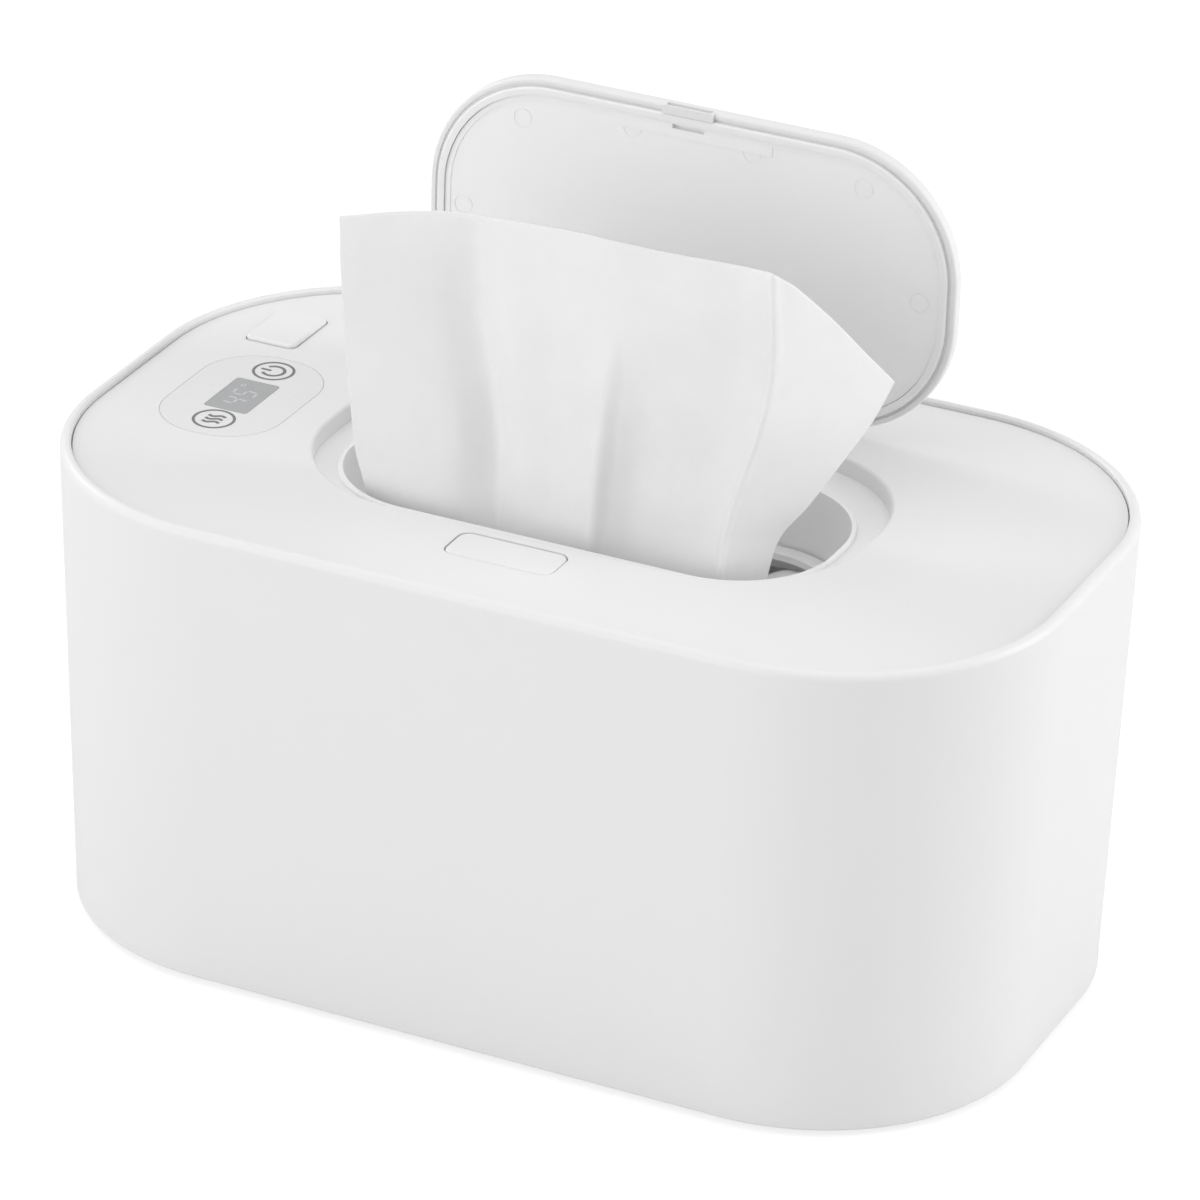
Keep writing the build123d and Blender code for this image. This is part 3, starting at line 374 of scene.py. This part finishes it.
def lcd_glass(name):
    """The display's silver-grey cell under a clear front: faint cell rows and a glossy face."""
    material, tree, surface = new_material(name)
    vector = object_coordinates(tree)
    rows = tree.nodes.new("ShaderNodeTexWave")
    rows.bands_direction = "X"
    rows.inputs["Scale"].default_value = 900
    rows.inputs["Distortion"].default_value = 0
    tree.links.new(vector, rows.inputs["Vector"])
    tint = noise(tree, vector, 160, detail=2)
    both = tree.nodes.new("ShaderNodeMath")
    both.operation = "MULTIPLY"
    tree.links.new(rows.outputs["Fac"], both.inputs[0])
    tree.links.new(tint, both.inputs[1])
    cell = blend_colours(tree, both.outputs[0], (0.365, 0.37, 0.375), (0.43, 0.435, 0.44))
    tree.links.new(cell, surface.inputs["Base Color"])
    surface.inputs["Roughness"].default_value = 0.22
    surface.inputs["Coat Weight"].default_value = 0.4
    surface.inputs["Coat Roughness"].default_value = 0.08
    return material


def ink(name, colour):
    material, tree, surface = new_material(name)
    speck = noise(tree, object_coordinates(tree), 3000, detail=2)
    tree.links.new(blend_colours(tree, speck, shade(colour, 0.85), colour), surface.inputs["Base Color"])
    surface.inputs["Roughness"].default_value = 0.45
    return material


def make_materials():
    white = (0.80, 0.80, 0.80)
    table = {
        "casing": moulded_plastic("casing_white", white, 0.40),
        "cover": moulded_plastic("cover_white", white, 0.42),
        "lid": moulded_plastic("lid_white", white, 0.38),
        "liner": moulded_plastic("liner_white", (0.92, 0.92, 0.92), 0.44, grain=0.00002),
        # the tank gets a painted glow, which brightens its inside in place of light coming through its walls
        "tank": moulded_plastic("tank_white", (0.92, 0.92, 0.92), 0.35, grain=0.000008, painted_glow=0.07),
        "collar": moulded_plastic("collar_white", (0.88, 0.88, 0.88), 0.42),
        "key": moulded_plastic("key_white", (0.81, 0.81, 0.81), 0.36),
        "overlay": moulded_plastic("overlay_white", (0.80, 0.80, 0.80), 0.30, grain=0.000004),
        "black": moulded_plastic("black_nylon", (0.018, 0.018, 0.02), 0.5, glow=0.0),
        "epoxy": moulded_plastic("black_epoxy", (0.03, 0.03, 0.035), 0.3, glow=0.0),
        "film": moulded_plastic("orange_film", (0.62, 0.22, 0.03), 0.25, glow=0.0, vary=0.8),
        "seal": silicone("seal_silicone", (0.90, 0.90, 0.90)),
        "foot": silicone("foot_rubber", (0.32, 0.33, 0.34)),
        "steel": brushed_metal("spring_steel", (0.62, 0.62, 0.63)),
        "zinc": brushed_metal("screw_steel", (0.55, 0.55, 0.56), 0.35),
        "aluminium": brushed_metal("heater_aluminium", (0.72, 0.73, 0.74), 0.35),
        "brass": brushed_metal("contact_brass", (0.72, 0.53, 0.22), 0.25),
        "board": circuit_board("board_green"),
        "foam": foam("foam_grey", (0.42, 0.42, 0.43)),
        "wipe": wet_wipe("wipe_cloth"),
        "lcd": lcd_glass("lcd_glass"),
        "ink": ink("icon_ink", (0.20, 0.20, 0.205)),
        "segment": ink("segment_ink", (0.60, 0.61, 0.62)),
    }
    finish = {
        "outer_casing": "casing", "base_plate": "casing", "rubber_feet": "foot", "base_screws": "zinc",
        "inner_tank": "tank", "heating_plate": "aluminium", "heating_film": "film", "insulation_pad": "foam",
        "temperature_sensor": "epoxy", "thermal_fuse": "epoxy",
        "power_board": "board", "power_socket": "black",
        "contact_block": "black", "contact_pins": "brass", "contact_pads": "brass", "top_panel": "cover",
        "cover_frame": "collar", "cover_gasket": "seal", "cover_screws": "zinc", "control_overlay": "overlay",
        "display_window": "lcd", "display_module": "black",
        "control_board": "board", "touch_springs": "steel",
        "hinge_pin": "steel", "lid_spring": "steel", "lid_outer": "lid",
        "lid_liner": "liner", "lid_seal": "seal",
        "latch_button": "key", "latch_lever": "cover", "latch_pin": "steel", "latch_spring": "steel",
        "release_button": "key", "release_bolt": "cover", "release_spring": "steel",
    }
    for node, kind in finish.items():
        mesh = nodes[node].data
        mesh.materials.clear()
        mesh.materials.append(table[kind])
    return table


# ---------------------------------------------------------------- mesh helpers
def new_piece(name, verts, faces, material, smooth=True):
    mesh = bpy.data.meshes.new(name)
    mesh.from_pydata([tuple(v) for v in verts], [], faces)
    mesh.validate()
    mesh.materials.append(material)
    if smooth:
        mesh.polygons.foreach_set("use_smooth", [True] * len(mesh.polygons))
    piece = bpy.data.objects.new(name, mesh)
    bpy.context.scene.collection.objects.link(piece)
    return piece


def apply_modifiers(piece):
    graph = bpy.context.evaluated_depsgraph_get()
    made = bpy.data.meshes.new_from_object(piece.evaluated_get(graph))
    piece.modifiers.clear()
    piece.data = made


def spline_weights(count, at):
    """Cardinal spline weights on evenly spaced knots. The places in at run from 0 to count - 1."""
    weights = np.zeros((len(at), count))
    for row, t in enumerate(at):
        k = min(int(t), count - 2)
        f = t - k
        blend = (
            (-f + 2 * f * f - f ** 3) / 2, (2 - 5 * f * f + 3 * f ** 3) / 2,
            (f + 4 * f * f - 3 * f ** 3) / 2, (-f * f + f ** 3) / 2,
        )
        for offset, w in enumerate(blend):
            knot = k - 1 + offset
            if knot < 0:
                weights[row, 0] += 2 * w
                weights[row, 1] -= w
            elif knot >= count:
                weights[row, count - 1] += 2 * w
                weights[row, count - 2] -= w
            else:
                weights[row, knot] += w
    return weights


def patch(control, across, up):
    """A smooth grid of points through control[row][column], with across by up steps."""
    control = np.array(control, float)
    rows, columns = control.shape[:2]
    wu = spline_weights(rows, np.linspace(0, rows - 1, up))
    wv = spline_weights(columns, np.linspace(0, columns - 1, across))
    return np.einsum("ur,rck,vc->uvk", wu, control, wv)


def grid_faces(rows, columns):
    return [
        (r * columns + c, r * columns + c + 1, (r + 1) * columns + c + 1, (r + 1) * columns + c)
        for r in range(rows - 1) for c in range(columns - 1)
    ]


def crinkle(points, seed, size, depth):
    """Soft, repeatable wrinkles: a few sine waves in random directions, added along y."""
    source = random.Random(seed)
    total = np.zeros(points.shape[:2])
    for _ in range(14):
        turn = source.uniform(0, math.pi)
        length = size * source.uniform(0.6, 1.8)
        phase = source.uniform(0, 2 * math.pi)
        along = points[..., 0] * math.cos(turn) + points[..., 2] * math.sin(turn)
        total += np.sin(along / length * 2 * math.pi + phase) * length / size
    return total / 14 * depth * 2


# ---------------------------------------------------------------- the pulled-up wipe
SHEET_WIDTH = 0.145            # one wipe is cut to 145 by 180 mm
SHEET_THICKNESS = 0.45 * MM
# places of the sheet are in millimetres
NECK_Z = 88.0                  # where the standing part meets the part in the tank
NECK_LEAN = 0.35               # how far the sheet goes on as it left the lip, in rows
NECK_DRAW = 0.97               # how much of its width it keeps there
FLAP_EASE = 1.35               # draws the flap's places in to the crease
STANDING_ACROSS, STANDING_UP = 420, 130
SMOOTH_NECK = 8.0              # no wrinkles as far as this above the neck,
WRINKLE_RISE = 20.0            # and all of them this much higher

# The standing part as the photograph shows it. Rows run from its top edge down to the lip, and columns
# from its left edge, over the soft folds and the crease on the right, to its free edge. A place is a
# pixel of the photograph with its depth, y, in millimetres, which is judged from the shading.
TOP_EDGE = [
    (340, 215.7, -16.2), (363, 214.2, -15.5), (399, 212.2, -14.3), (435, 211.8, -13.2), (470, 215.2, -12.2),
    (488, 217.9, -12.0), (512, 221.2, -12.3), (555, 228.3, -12.9), (590, 235.4, -13.4), (614, 241.2, -13.6),
    (632, 245.4, -13.4), (668, 252.9, -12.8), (712, 260.5, -12.2), (744, 266.2, -12.0), (766, 271.0, -12.8),
    (774, 273.6, -13.4), (782, 277.6, -11.7), (797, 286.8, -8.7), (824, 310.5, -2.4), (860, 347.5, 6.2),
    (894.3, 382, 14.6),
]
BOTTOM_EDGE = [
    (364, 482.5, -23.4), (394, 500, -24.2), (426, 510, -24.4), (458, 518.5, -23.4), (494, 527.4, -20.2),
    (508, 530.5, -21.0), (522, 534, -22.0), (546, 539.5, -22.6), (570, 545, -23.2), (588, 549.4, -24.2),
    (606, 553.4, -21.8), (630, 558.6, -19.6), (660, 564.8, -19.8), (688, 569.8, -21.0), (712, 572.9, -23.4),
    (719, 573.6, -24.4), (725, 574.4, -22.8), (735, 575.6, -20.1), (747, 576.8, -17.0), (757, 577.8, -14.4),
    (766, 578.5, -11.9),
]
# The rows between run down to the right, as far as the crease: their left end's pixel row, the fall per
# pixel, and each place's pixel column and depth. The flap behind the crease is plain, and its free edge
# has a place of its own.
ROWS_BETWEEN = [
    (275, 0.185, [
        (341, -17.0), (363, -16.0), (399, -14.0), (435, -11.6), (478, -7.5), (496, -10.4), (515, -12.4),
        (555, -13.2), (590, -14.5), (614, -15.0), (632, -15.0), (668, -14.6), (704, -14.1), (740, -13.4),
        (766, -14.6), (774, -15.2)],
        (871, 423, 7.7)),
    (337, 0.195, [
        (345, -17.4), (375, -16.6), (411, -14.9), (447, -12.6), (487, -8.5), (503, -10.6), (520, -12.6),
        (555, -14.0), (584, -15.9), (604, -17.3), (624, -15.8), (654, -14.6), (698, -15.2), (730, -15.4),
        (756, -16.8), (764, -17.6)],
        (843.5, 460, 1.5)),
    (397, 0.215, [
        (350, -19.4), (385, -19.2), (418, -18.6), (456, -16.8), (495, -11.8), (509, -13.6), (524, -15.0),
        (555, -15.8), (586, -17.2), (598, -18.0), (616, -15.7), (644, -13.6), (684, -14.2), (708, -15.2),
        (735, -18.6), (742, -19.8)],
        (808.5, 505, -3.9)),
    (449, 0.225, [
        (355, -21.6), (390, -21.9), (422, -21.8), (456, -20.6), (495, -16.2), (509, -17.6), (524, -18.8),
        (548, -19.2), (576, -20.4), (592, -21.2), (610, -18.6), (636, -16.4), (672, -16.4), (698, -17.4),
        (719, -20.6), (726, -22.0)],
        (779, 538.4, -8.3)),
]
# the ring under the opening, and the top of the lip, whose inside is wider
MOUTH = {
    "middle_x": 1.0, "half_x": 50.35, "low_y": -23.2, "high_y": 18.0, "corner": 18.0, "clearance": 0.7,
}
RING_TOP_Z = 86.5
LIP_TOP_Z = 101.4
LIP_GROWTH = 4.0


def inside_mouth(x, y, z):
    """The nearest plan point to (x, y) that is clear of the opening's side at that height."""
    if z > LIP_TOP_Z + 1:
        return Vector((x, y))
    half_x = MOUTH["half_x"] - MOUTH["corner"]
    low_y, high_y = MOUTH["low_y"] + MOUTH["corner"], MOUTH["high_y"] - MOUTH["corner"]
    x -= MOUTH["middle_x"]
    core = Vector((min(max(x, -half_x), half_x), min(max(y, min(low_y, high_y)), max(low_y, high_y))))
    away = Vector((x, y)) - core
    reach = MOUTH["corner"] - MOUTH["clearance"] + (LIP_GROWTH if z > RING_TOP_Z + 2 else 0)
    if away.length > reach:
        away *= reach / away.length
    return core + away + Vector((MOUTH["middle_x"], 0))


def standing_points():
    """The standing part, row by row from the neck to the top edge."""
    places = [TOP_EDGE]
    for left_y, fall, folds, free_edge in ROWS_BETWEEN:
        row = [(px, left_y + fall * (px - folds[0][0]), depth) for px, depth in folds]
        crease = np.array(row[-1])
        steps = len(TOP_EDGE) - len(row)
        for k in range(1, steps + 1):
            row.append(tuple(crease + (np.array(free_edge) - crease) * (k / steps) ** FLAP_EASE))
        places.append(row)
    places.append(BOTTOM_EDGE)
    control = []
    for row in places:
        line = []
        for place in row:
            point = photo_point(*place)
            line.append(Vector((*inside_mouth(point.x, point.y, point.z), point.z)))
        control.append(line)
    neck = []
    for point, above in zip(control[-1], control[-2]):
        down = point + (point - above) * NECK_LEAN
        neck.append(Vector((*inside_mouth(down.x * NECK_DRAW, down.y, NECK_Z), NECK_Z)))
    control.append(neck)
    control.reverse()
    return patch(control, STANDING_ACROSS, STANDING_UP)


def make_sheet(name, points, material):
    """A thin closed sheet through a grid of points."""
    rows, columns = points.shape[:2]
    piece = new_piece(name, points.reshape(-1, 3) * MM, grid_faces(rows, columns), material)
    solidify = piece.modifiers.new("thickness", "SOLIDIFY")
    solidify.thickness = SHEET_THICKNESS
    solidify.offset = 0
    apply_modifiers(piece)
    piece.data.polygons.foreach_set("use_smooth", [True] * len(piece.data.polygons))
    return piece


def make_wipe(material):
    points = standing_points()
    rise = np.clip((points[..., 2] - NECK_Z - SMOOTH_NECK) / WRINKLE_RISE, 0, 1)
    broad = crinkle(points, seed=5, size=30, depth=0.35)
    fine = crinkle(points, seed=8, size=8, depth=0.07)
    points[..., 1] += broad * rise + fine * rise
    piece = make_sheet("wipe_sheet", points, material)
    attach(piece, "cover")
    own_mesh(piece)
    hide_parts("wipe")
    return points[0]


TAIL_CLEARANCE = 0.7           # above the stack's top
TAIL_SPREAD = 0.96             # of the sheet's width, where it lies on the stack
TAIL_ROWS = 60
LYING_FROM, LYING_RISE = 2.0, 10.0    # in y: where it starts to lie loose, and over how much it gets to
RIPPLE_DEPTH = 0.5
RIPPLE_LENGTH = (7.0, 11.0)
SWELL_PLACE = (37.0, 17.0)     # it is puffed up under the opening's right end
SWELL_SPREAD = (13.0, 10.0)
SWELL_HEIGHT = 11.5
SWELL_TOP_Z = 84.0


def tail_row(neck, wide, keep_x, keep_y, y, z):
    """A row of the tail, from what it keeps of the neck's plan shape; wide is the x of the sheet laid out."""
    x = neck[:, 0] * keep_x + wide * (1 - keep_x)
    return np.stack([x, neck[:, 1] * keep_y + y, np.full(len(neck), z)], 1)


def make_wipe_tail(material, neck):
    """The rest of the sheet: it hangs from the neck, and lies on the stack."""
    stack_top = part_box("wipe_stack")[1].z / MM + TAIL_CLEARANCE
    wide = (np.linspace(0, 1, len(neck)) - 0.5) * SHEET_WIDTH / MM * TAIL_SPREAD
    shapes = [
        neck,
        tail_row(neck, wide, 0.6, 0.8, -1.5, NECK_Z - 7),
        tail_row(neck, wide, 0.25, 0.5, -3.0, stack_top + 4.0),
        tail_row(neck, wide, 0, 0, 3.0, stack_top + 0.3),
        tail_row(neck, wide, 0, 0, 20.0, stack_top),
        tail_row(neck, wide, 0, 0, 39.0, stack_top),
    ]
    wu = spline_weights(len(shapes), np.linspace(0, len(shapes) - 1, TAIL_ROWS))
    points = np.einsum("ur,rck->uck", wu, np.array(shapes))
    points[..., 2] = np.maximum(points[..., 2], stack_top)
    x, y = points[..., 0], points[..., 1]
    loose = np.clip((y - LYING_FROM) / LYING_RISE, 0, 1)
    points[..., 2] += RIPPLE_DEPTH * loose * (1 + np.sin(x / RIPPLE_LENGTH[0] + y / RIPPLE_LENGTH[1]))
    off_x, off_y = (x - SWELL_PLACE[0]) / SWELL_SPREAD[0], (y - SWELL_PLACE[1]) / SWELL_SPREAD[1]
    swell = np.exp(-off_x ** 2 - off_y ** 2)
    points[..., 2] += loose * np.clip(swell * SWELL_HEIGHT, 0, SWELL_TOP_Z - points[..., 2])
    piece = make_sheet("wipe_tail", points, material)
    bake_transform(piece)


def make_coil(node):
    """A copy of a compression spring's mesh, which stands in for the part; the part itself is hidden."""
    piece = bpy.data.objects.new(node + "_coil", nodes[node].data.copy())
    bpy.context.scene.collection.objects.link(piece)
    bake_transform(piece)
    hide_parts(node)


# ---------------------------------------------------------------- the folded wipes in the tank
FOLD_PITCH = 2.2 * MM          # about what one loop takes up of the stack's height
FOLD_FILL = 0.94               # of its pitch that a loop fills
FOLD_STATIONS = 24
FOLD_ROUND_STEPS = 4
FOLD_WAVE = 0.12 * MM
FOLD_CORNER = 9 * MM           # how far from its ends a loop starts to narrow
FOLD_NARROWING = 0.045


def make_stack(material):
    """Loops one on another, with round folds at their front and back. Each stands for some folded plies."""
    low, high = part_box("wipe_stack")
    length, width = high.x - low.x, high.y - low.y
    middle_x, middle_y = (low.x + high.x) / 2, (low.y + high.y) / 2
    count = int((high.z - low.z) / FOLD_PITCH)
    pitch = (high.z - low.z) / count
    source = random.Random(3)
    verts, faces = [], []
    for level in range(count):
        thick = pitch * FOLD_FILL
        z = low.z + pitch * level
        half_l = length / 2 - source.uniform(0.0, 1.6) * MM
        half_w = width / 2 - source.uniform(0.0, 1.8) * MM
        shift = source.uniform(-0.5, 0.5) * MM
        phase = source.uniform(0, 6)
        # profile across the fold: a flat loop with half-round ends
        profile = []
        for side in (-1, 1):
            for k in range(FOLD_ROUND_STEPS + 1):
                turn = math.pi * k / FOLD_ROUND_STEPS
                y = side * (half_w - thick / 2 + thick / 2 * math.sin(turn))
                dz = thick / 2 * math.cos(turn) * side
                profile.append((y, z + thick / 2 + dz))
        start = len(verts)
        for s in range(FOLD_STATIONS + 1):
            x = -half_l + 2 * half_l * s / FOLD_STATIONS
            wave = FOLD_WAVE * math.sin(x * 60 + phase)
            corner = max(0.0, abs(x) - (half_l - FOLD_CORNER)) / FOLD_CORNER
            pull = 1 - FOLD_NARROWING * corner ** 2
            for y, pz in profile:
                verts.append((middle_x + x + shift, middle_y + y * pull, pz + wave * 0.5))
        n = len(profile)
        for s in range(FOLD_STATIONS):
            for k in range(n):
                a, b = start + s * n + k, start + s * n + (k + 1) % n
                faces.append((a, b, b + n, a + n))
        faces.append(tuple(start + k for k in reversed(range(n))))
        faces.append(tuple(start + FOLD_STATIONS * n + k for k in range(n)))
    piece = new_piece("wipe_stack_folds", verts, faces, material)
    mesh = bmesh.new()
    mesh.from_mesh(piece.data)
    bmesh.ops.recalc_face_normals(mesh, faces=mesh.faces)
    mesh.to_mesh(piece.data)
    mesh.free()
    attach(piece, "casing")
    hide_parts("wipe_stack")


# ---------------------------------------------------------------- marks on the control overlay
PANEL_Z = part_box("control_overlay")[1].z
MARK_HEIGHT = 0.05 * MM
ICON_RADIUS = 4.3 * MM
ICON_LINE = 0.60 * MM
POWER_LINE = 0.70 * MM
POWER_RADIUS = 2.35 * MM
POWER_GAP = 38                 # degrees, on each side of the bar
WAVE_LINE = 0.72 * MM
WAVE_STEPS = 16
DIGIT_HALF_WIDTH, DIGIT_HALF_HEIGHT = 1.25, 2.5
DIGIT_SLANT = 0.12
DIGIT_LINE = 0.55 * MM
DEGREE_RADIUS = 0.5 * MM
DEGREE_LINE = 0.28 * MM
DIGIT_SINK = 0.02 * MM         # the digits' undersides lie this far in the window
POWER_ICON = Vector((-81.6, 12.1)) * MM
HEAT_ICON = Vector((-81.4, -14.8)) * MM


def stroke(verts, faces, line, width, z, height, closed=False):
    """A flat line of one width along plan points, as a closed prism."""
    count = len(line)
    start = len(verts)
    for k in range(count):
        before = line[(k - 1) % count] if closed or k > 0 else line[k]
        after = line[(k + 1) % count] if closed or k < count - 1 else line[k]
        along = (after - before).normalized()
        side = Vector((-along.y, along.x)) * width / 2
        for sign in (1, -1):
            for top in (z, z + height):
                p = line[k] + side * sign
                verts.append((p.x, p.y, top))
    pairs = count if closed else count - 1
    for k in range(pairs):
        a, b = start + 4 * k, start + 4 * ((k + 1) % count)
        faces.append((a + 1, a + 3, b + 3, b + 1))
        faces.append((a, b, b + 2, a + 2))
        faces.append((a, a + 1, b + 1, b))
        faces.append((a + 2, b + 2, b + 3, a + 3))
    if not closed:
        end = start + 4 * (count - 1)
        faces.append((start, start + 2, start + 3, start + 1))
        faces.append((end, end + 1, end + 3, end + 2))


def arc(centre, radius, start, end, steps):
    """Plan points on an arc, with angles in degrees from +X."""
    turns = (math.radians(start + (end - start) * k / steps) for k in range(steps + 1))
    return [centre + Vector((math.cos(t), math.sin(t))) * radius for t in turns]


def glyph_point(centre, right, up):
    """The marks are read from the right-hand end: their right is +Y, and their top is -X."""
    return centre + Vector((-up, right)) * MM


def make_icons(material):
    verts, faces = [], []
    for centre in (POWER_ICON, HEAT_ICON):
        ring = arc(centre, ICON_RADIUS, 0, 360, 72)[:-1]
        stroke(verts, faces, ring, ICON_LINE, PANEL_Z, MARK_HEIGHT, closed=True)
    # power: an open ring with a bar in its gap, which faces -X
    power = arc(POWER_ICON, POWER_RADIUS, 180 + POWER_GAP, 180 + 360 - POWER_GAP, 40)
    stroke(verts, faces, power, POWER_LINE, PANEL_Z, MARK_HEIGHT)
    bar = [glyph_point(POWER_ICON, 0, 0.6), glyph_point(POWER_ICON, 0, 2.9)]
    stroke(verts, faces, bar, POWER_LINE, PANEL_Z, MARK_HEIGHT)
    # heat: three rising waves
    for right in (-1.5, 0.0, 1.5):
        wave = [
            glyph_point(
                HEAT_ICON, right + 0.42 * math.sin(k / WAVE_STEPS * 2 * math.pi), -1.9 + 3.8 * k / WAVE_STEPS
            )
            for k in range(WAVE_STEPS + 1)
        ]
        stroke(verts, faces, wave, WAVE_LINE, PANEL_Z, MARK_HEIGHT)
    piece = new_piece("control_icons", verts, faces, material, smooth=False)
    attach(piece, "cover")


SEGMENTS = {
    # each segment of a digit: its two ends, in units of the digit's half width and half height
    "a": ((-1, 1), (1, 1)), "b": ((1, 1), (1, 0)), "c": ((1, 0), (1, -1)), "d": ((-1, -1), (1, -1)),
    "e": ((-1, 0), (-1, -1)), "f": ((-1, 1), (-1, 0)), "g": ((-1, 0), (1, 0)),
}
DIGITS = {"4": "fgbc", "5": "afgcd"}


def make_digits(material):
    low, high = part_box("display_window")
    centre = Vector(((low.x + high.x) / 2, (low.y + high.y) / 2))
    verts, faces = [], []
    digits_z = high.z - DIGIT_SINK
    for digit, place in (("4", -3.0), ("5", 1.4)):
        for name in DIGITS[digit]:
            ends = []
            (x0, y0), (x1, y1) = SEGMENTS[name]
            for (x, y), (ox, oy) in (((x0, y0), (x1, y1)), ((x1, y1), (x0, y0))):
                # a segment stops short of its ends
                u = (x * 0.86 + ox * 0.14) * DIGIT_HALF_WIDTH
                v = (y * 0.9 + oy * 0.1) * DIGIT_HALF_HEIGHT
                ends.append(glyph_point(centre, place + u + v * DIGIT_SLANT, v))
            stroke(verts, faces, ends, DIGIT_LINE, digits_z, MARK_HEIGHT)
    degree = arc(glyph_point(centre, 4.7, 2.1), DEGREE_RADIUS, 0, 360, 20)[:-1]
    stroke(verts, faces, degree, DEGREE_LINE, digits_z, MARK_HEIGHT, closed=True)
    piece = new_piece("display_digits", verts, faces, material, smooth=False)
    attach(piece, "cover")


# ---------------------------------------------------------------- scene
def main():
    bpy.context.scene.view_settings.view_transform = "Standard"
    make_camera()
    make_world(WORLD_LEVEL)
    make_floor()
    for light in LIGHTS:
        area_light(*light)
    table = make_materials()
    neck = make_wipe(table["wipe"])
    make_wipe_tail(table["wipe"], neck)
    make_stack(table["wipe"])
    make_icons(table["ink"])
    make_digits(table["segment"])
    make_coil("latch_spring")
    make_coil("release_spring")


main()
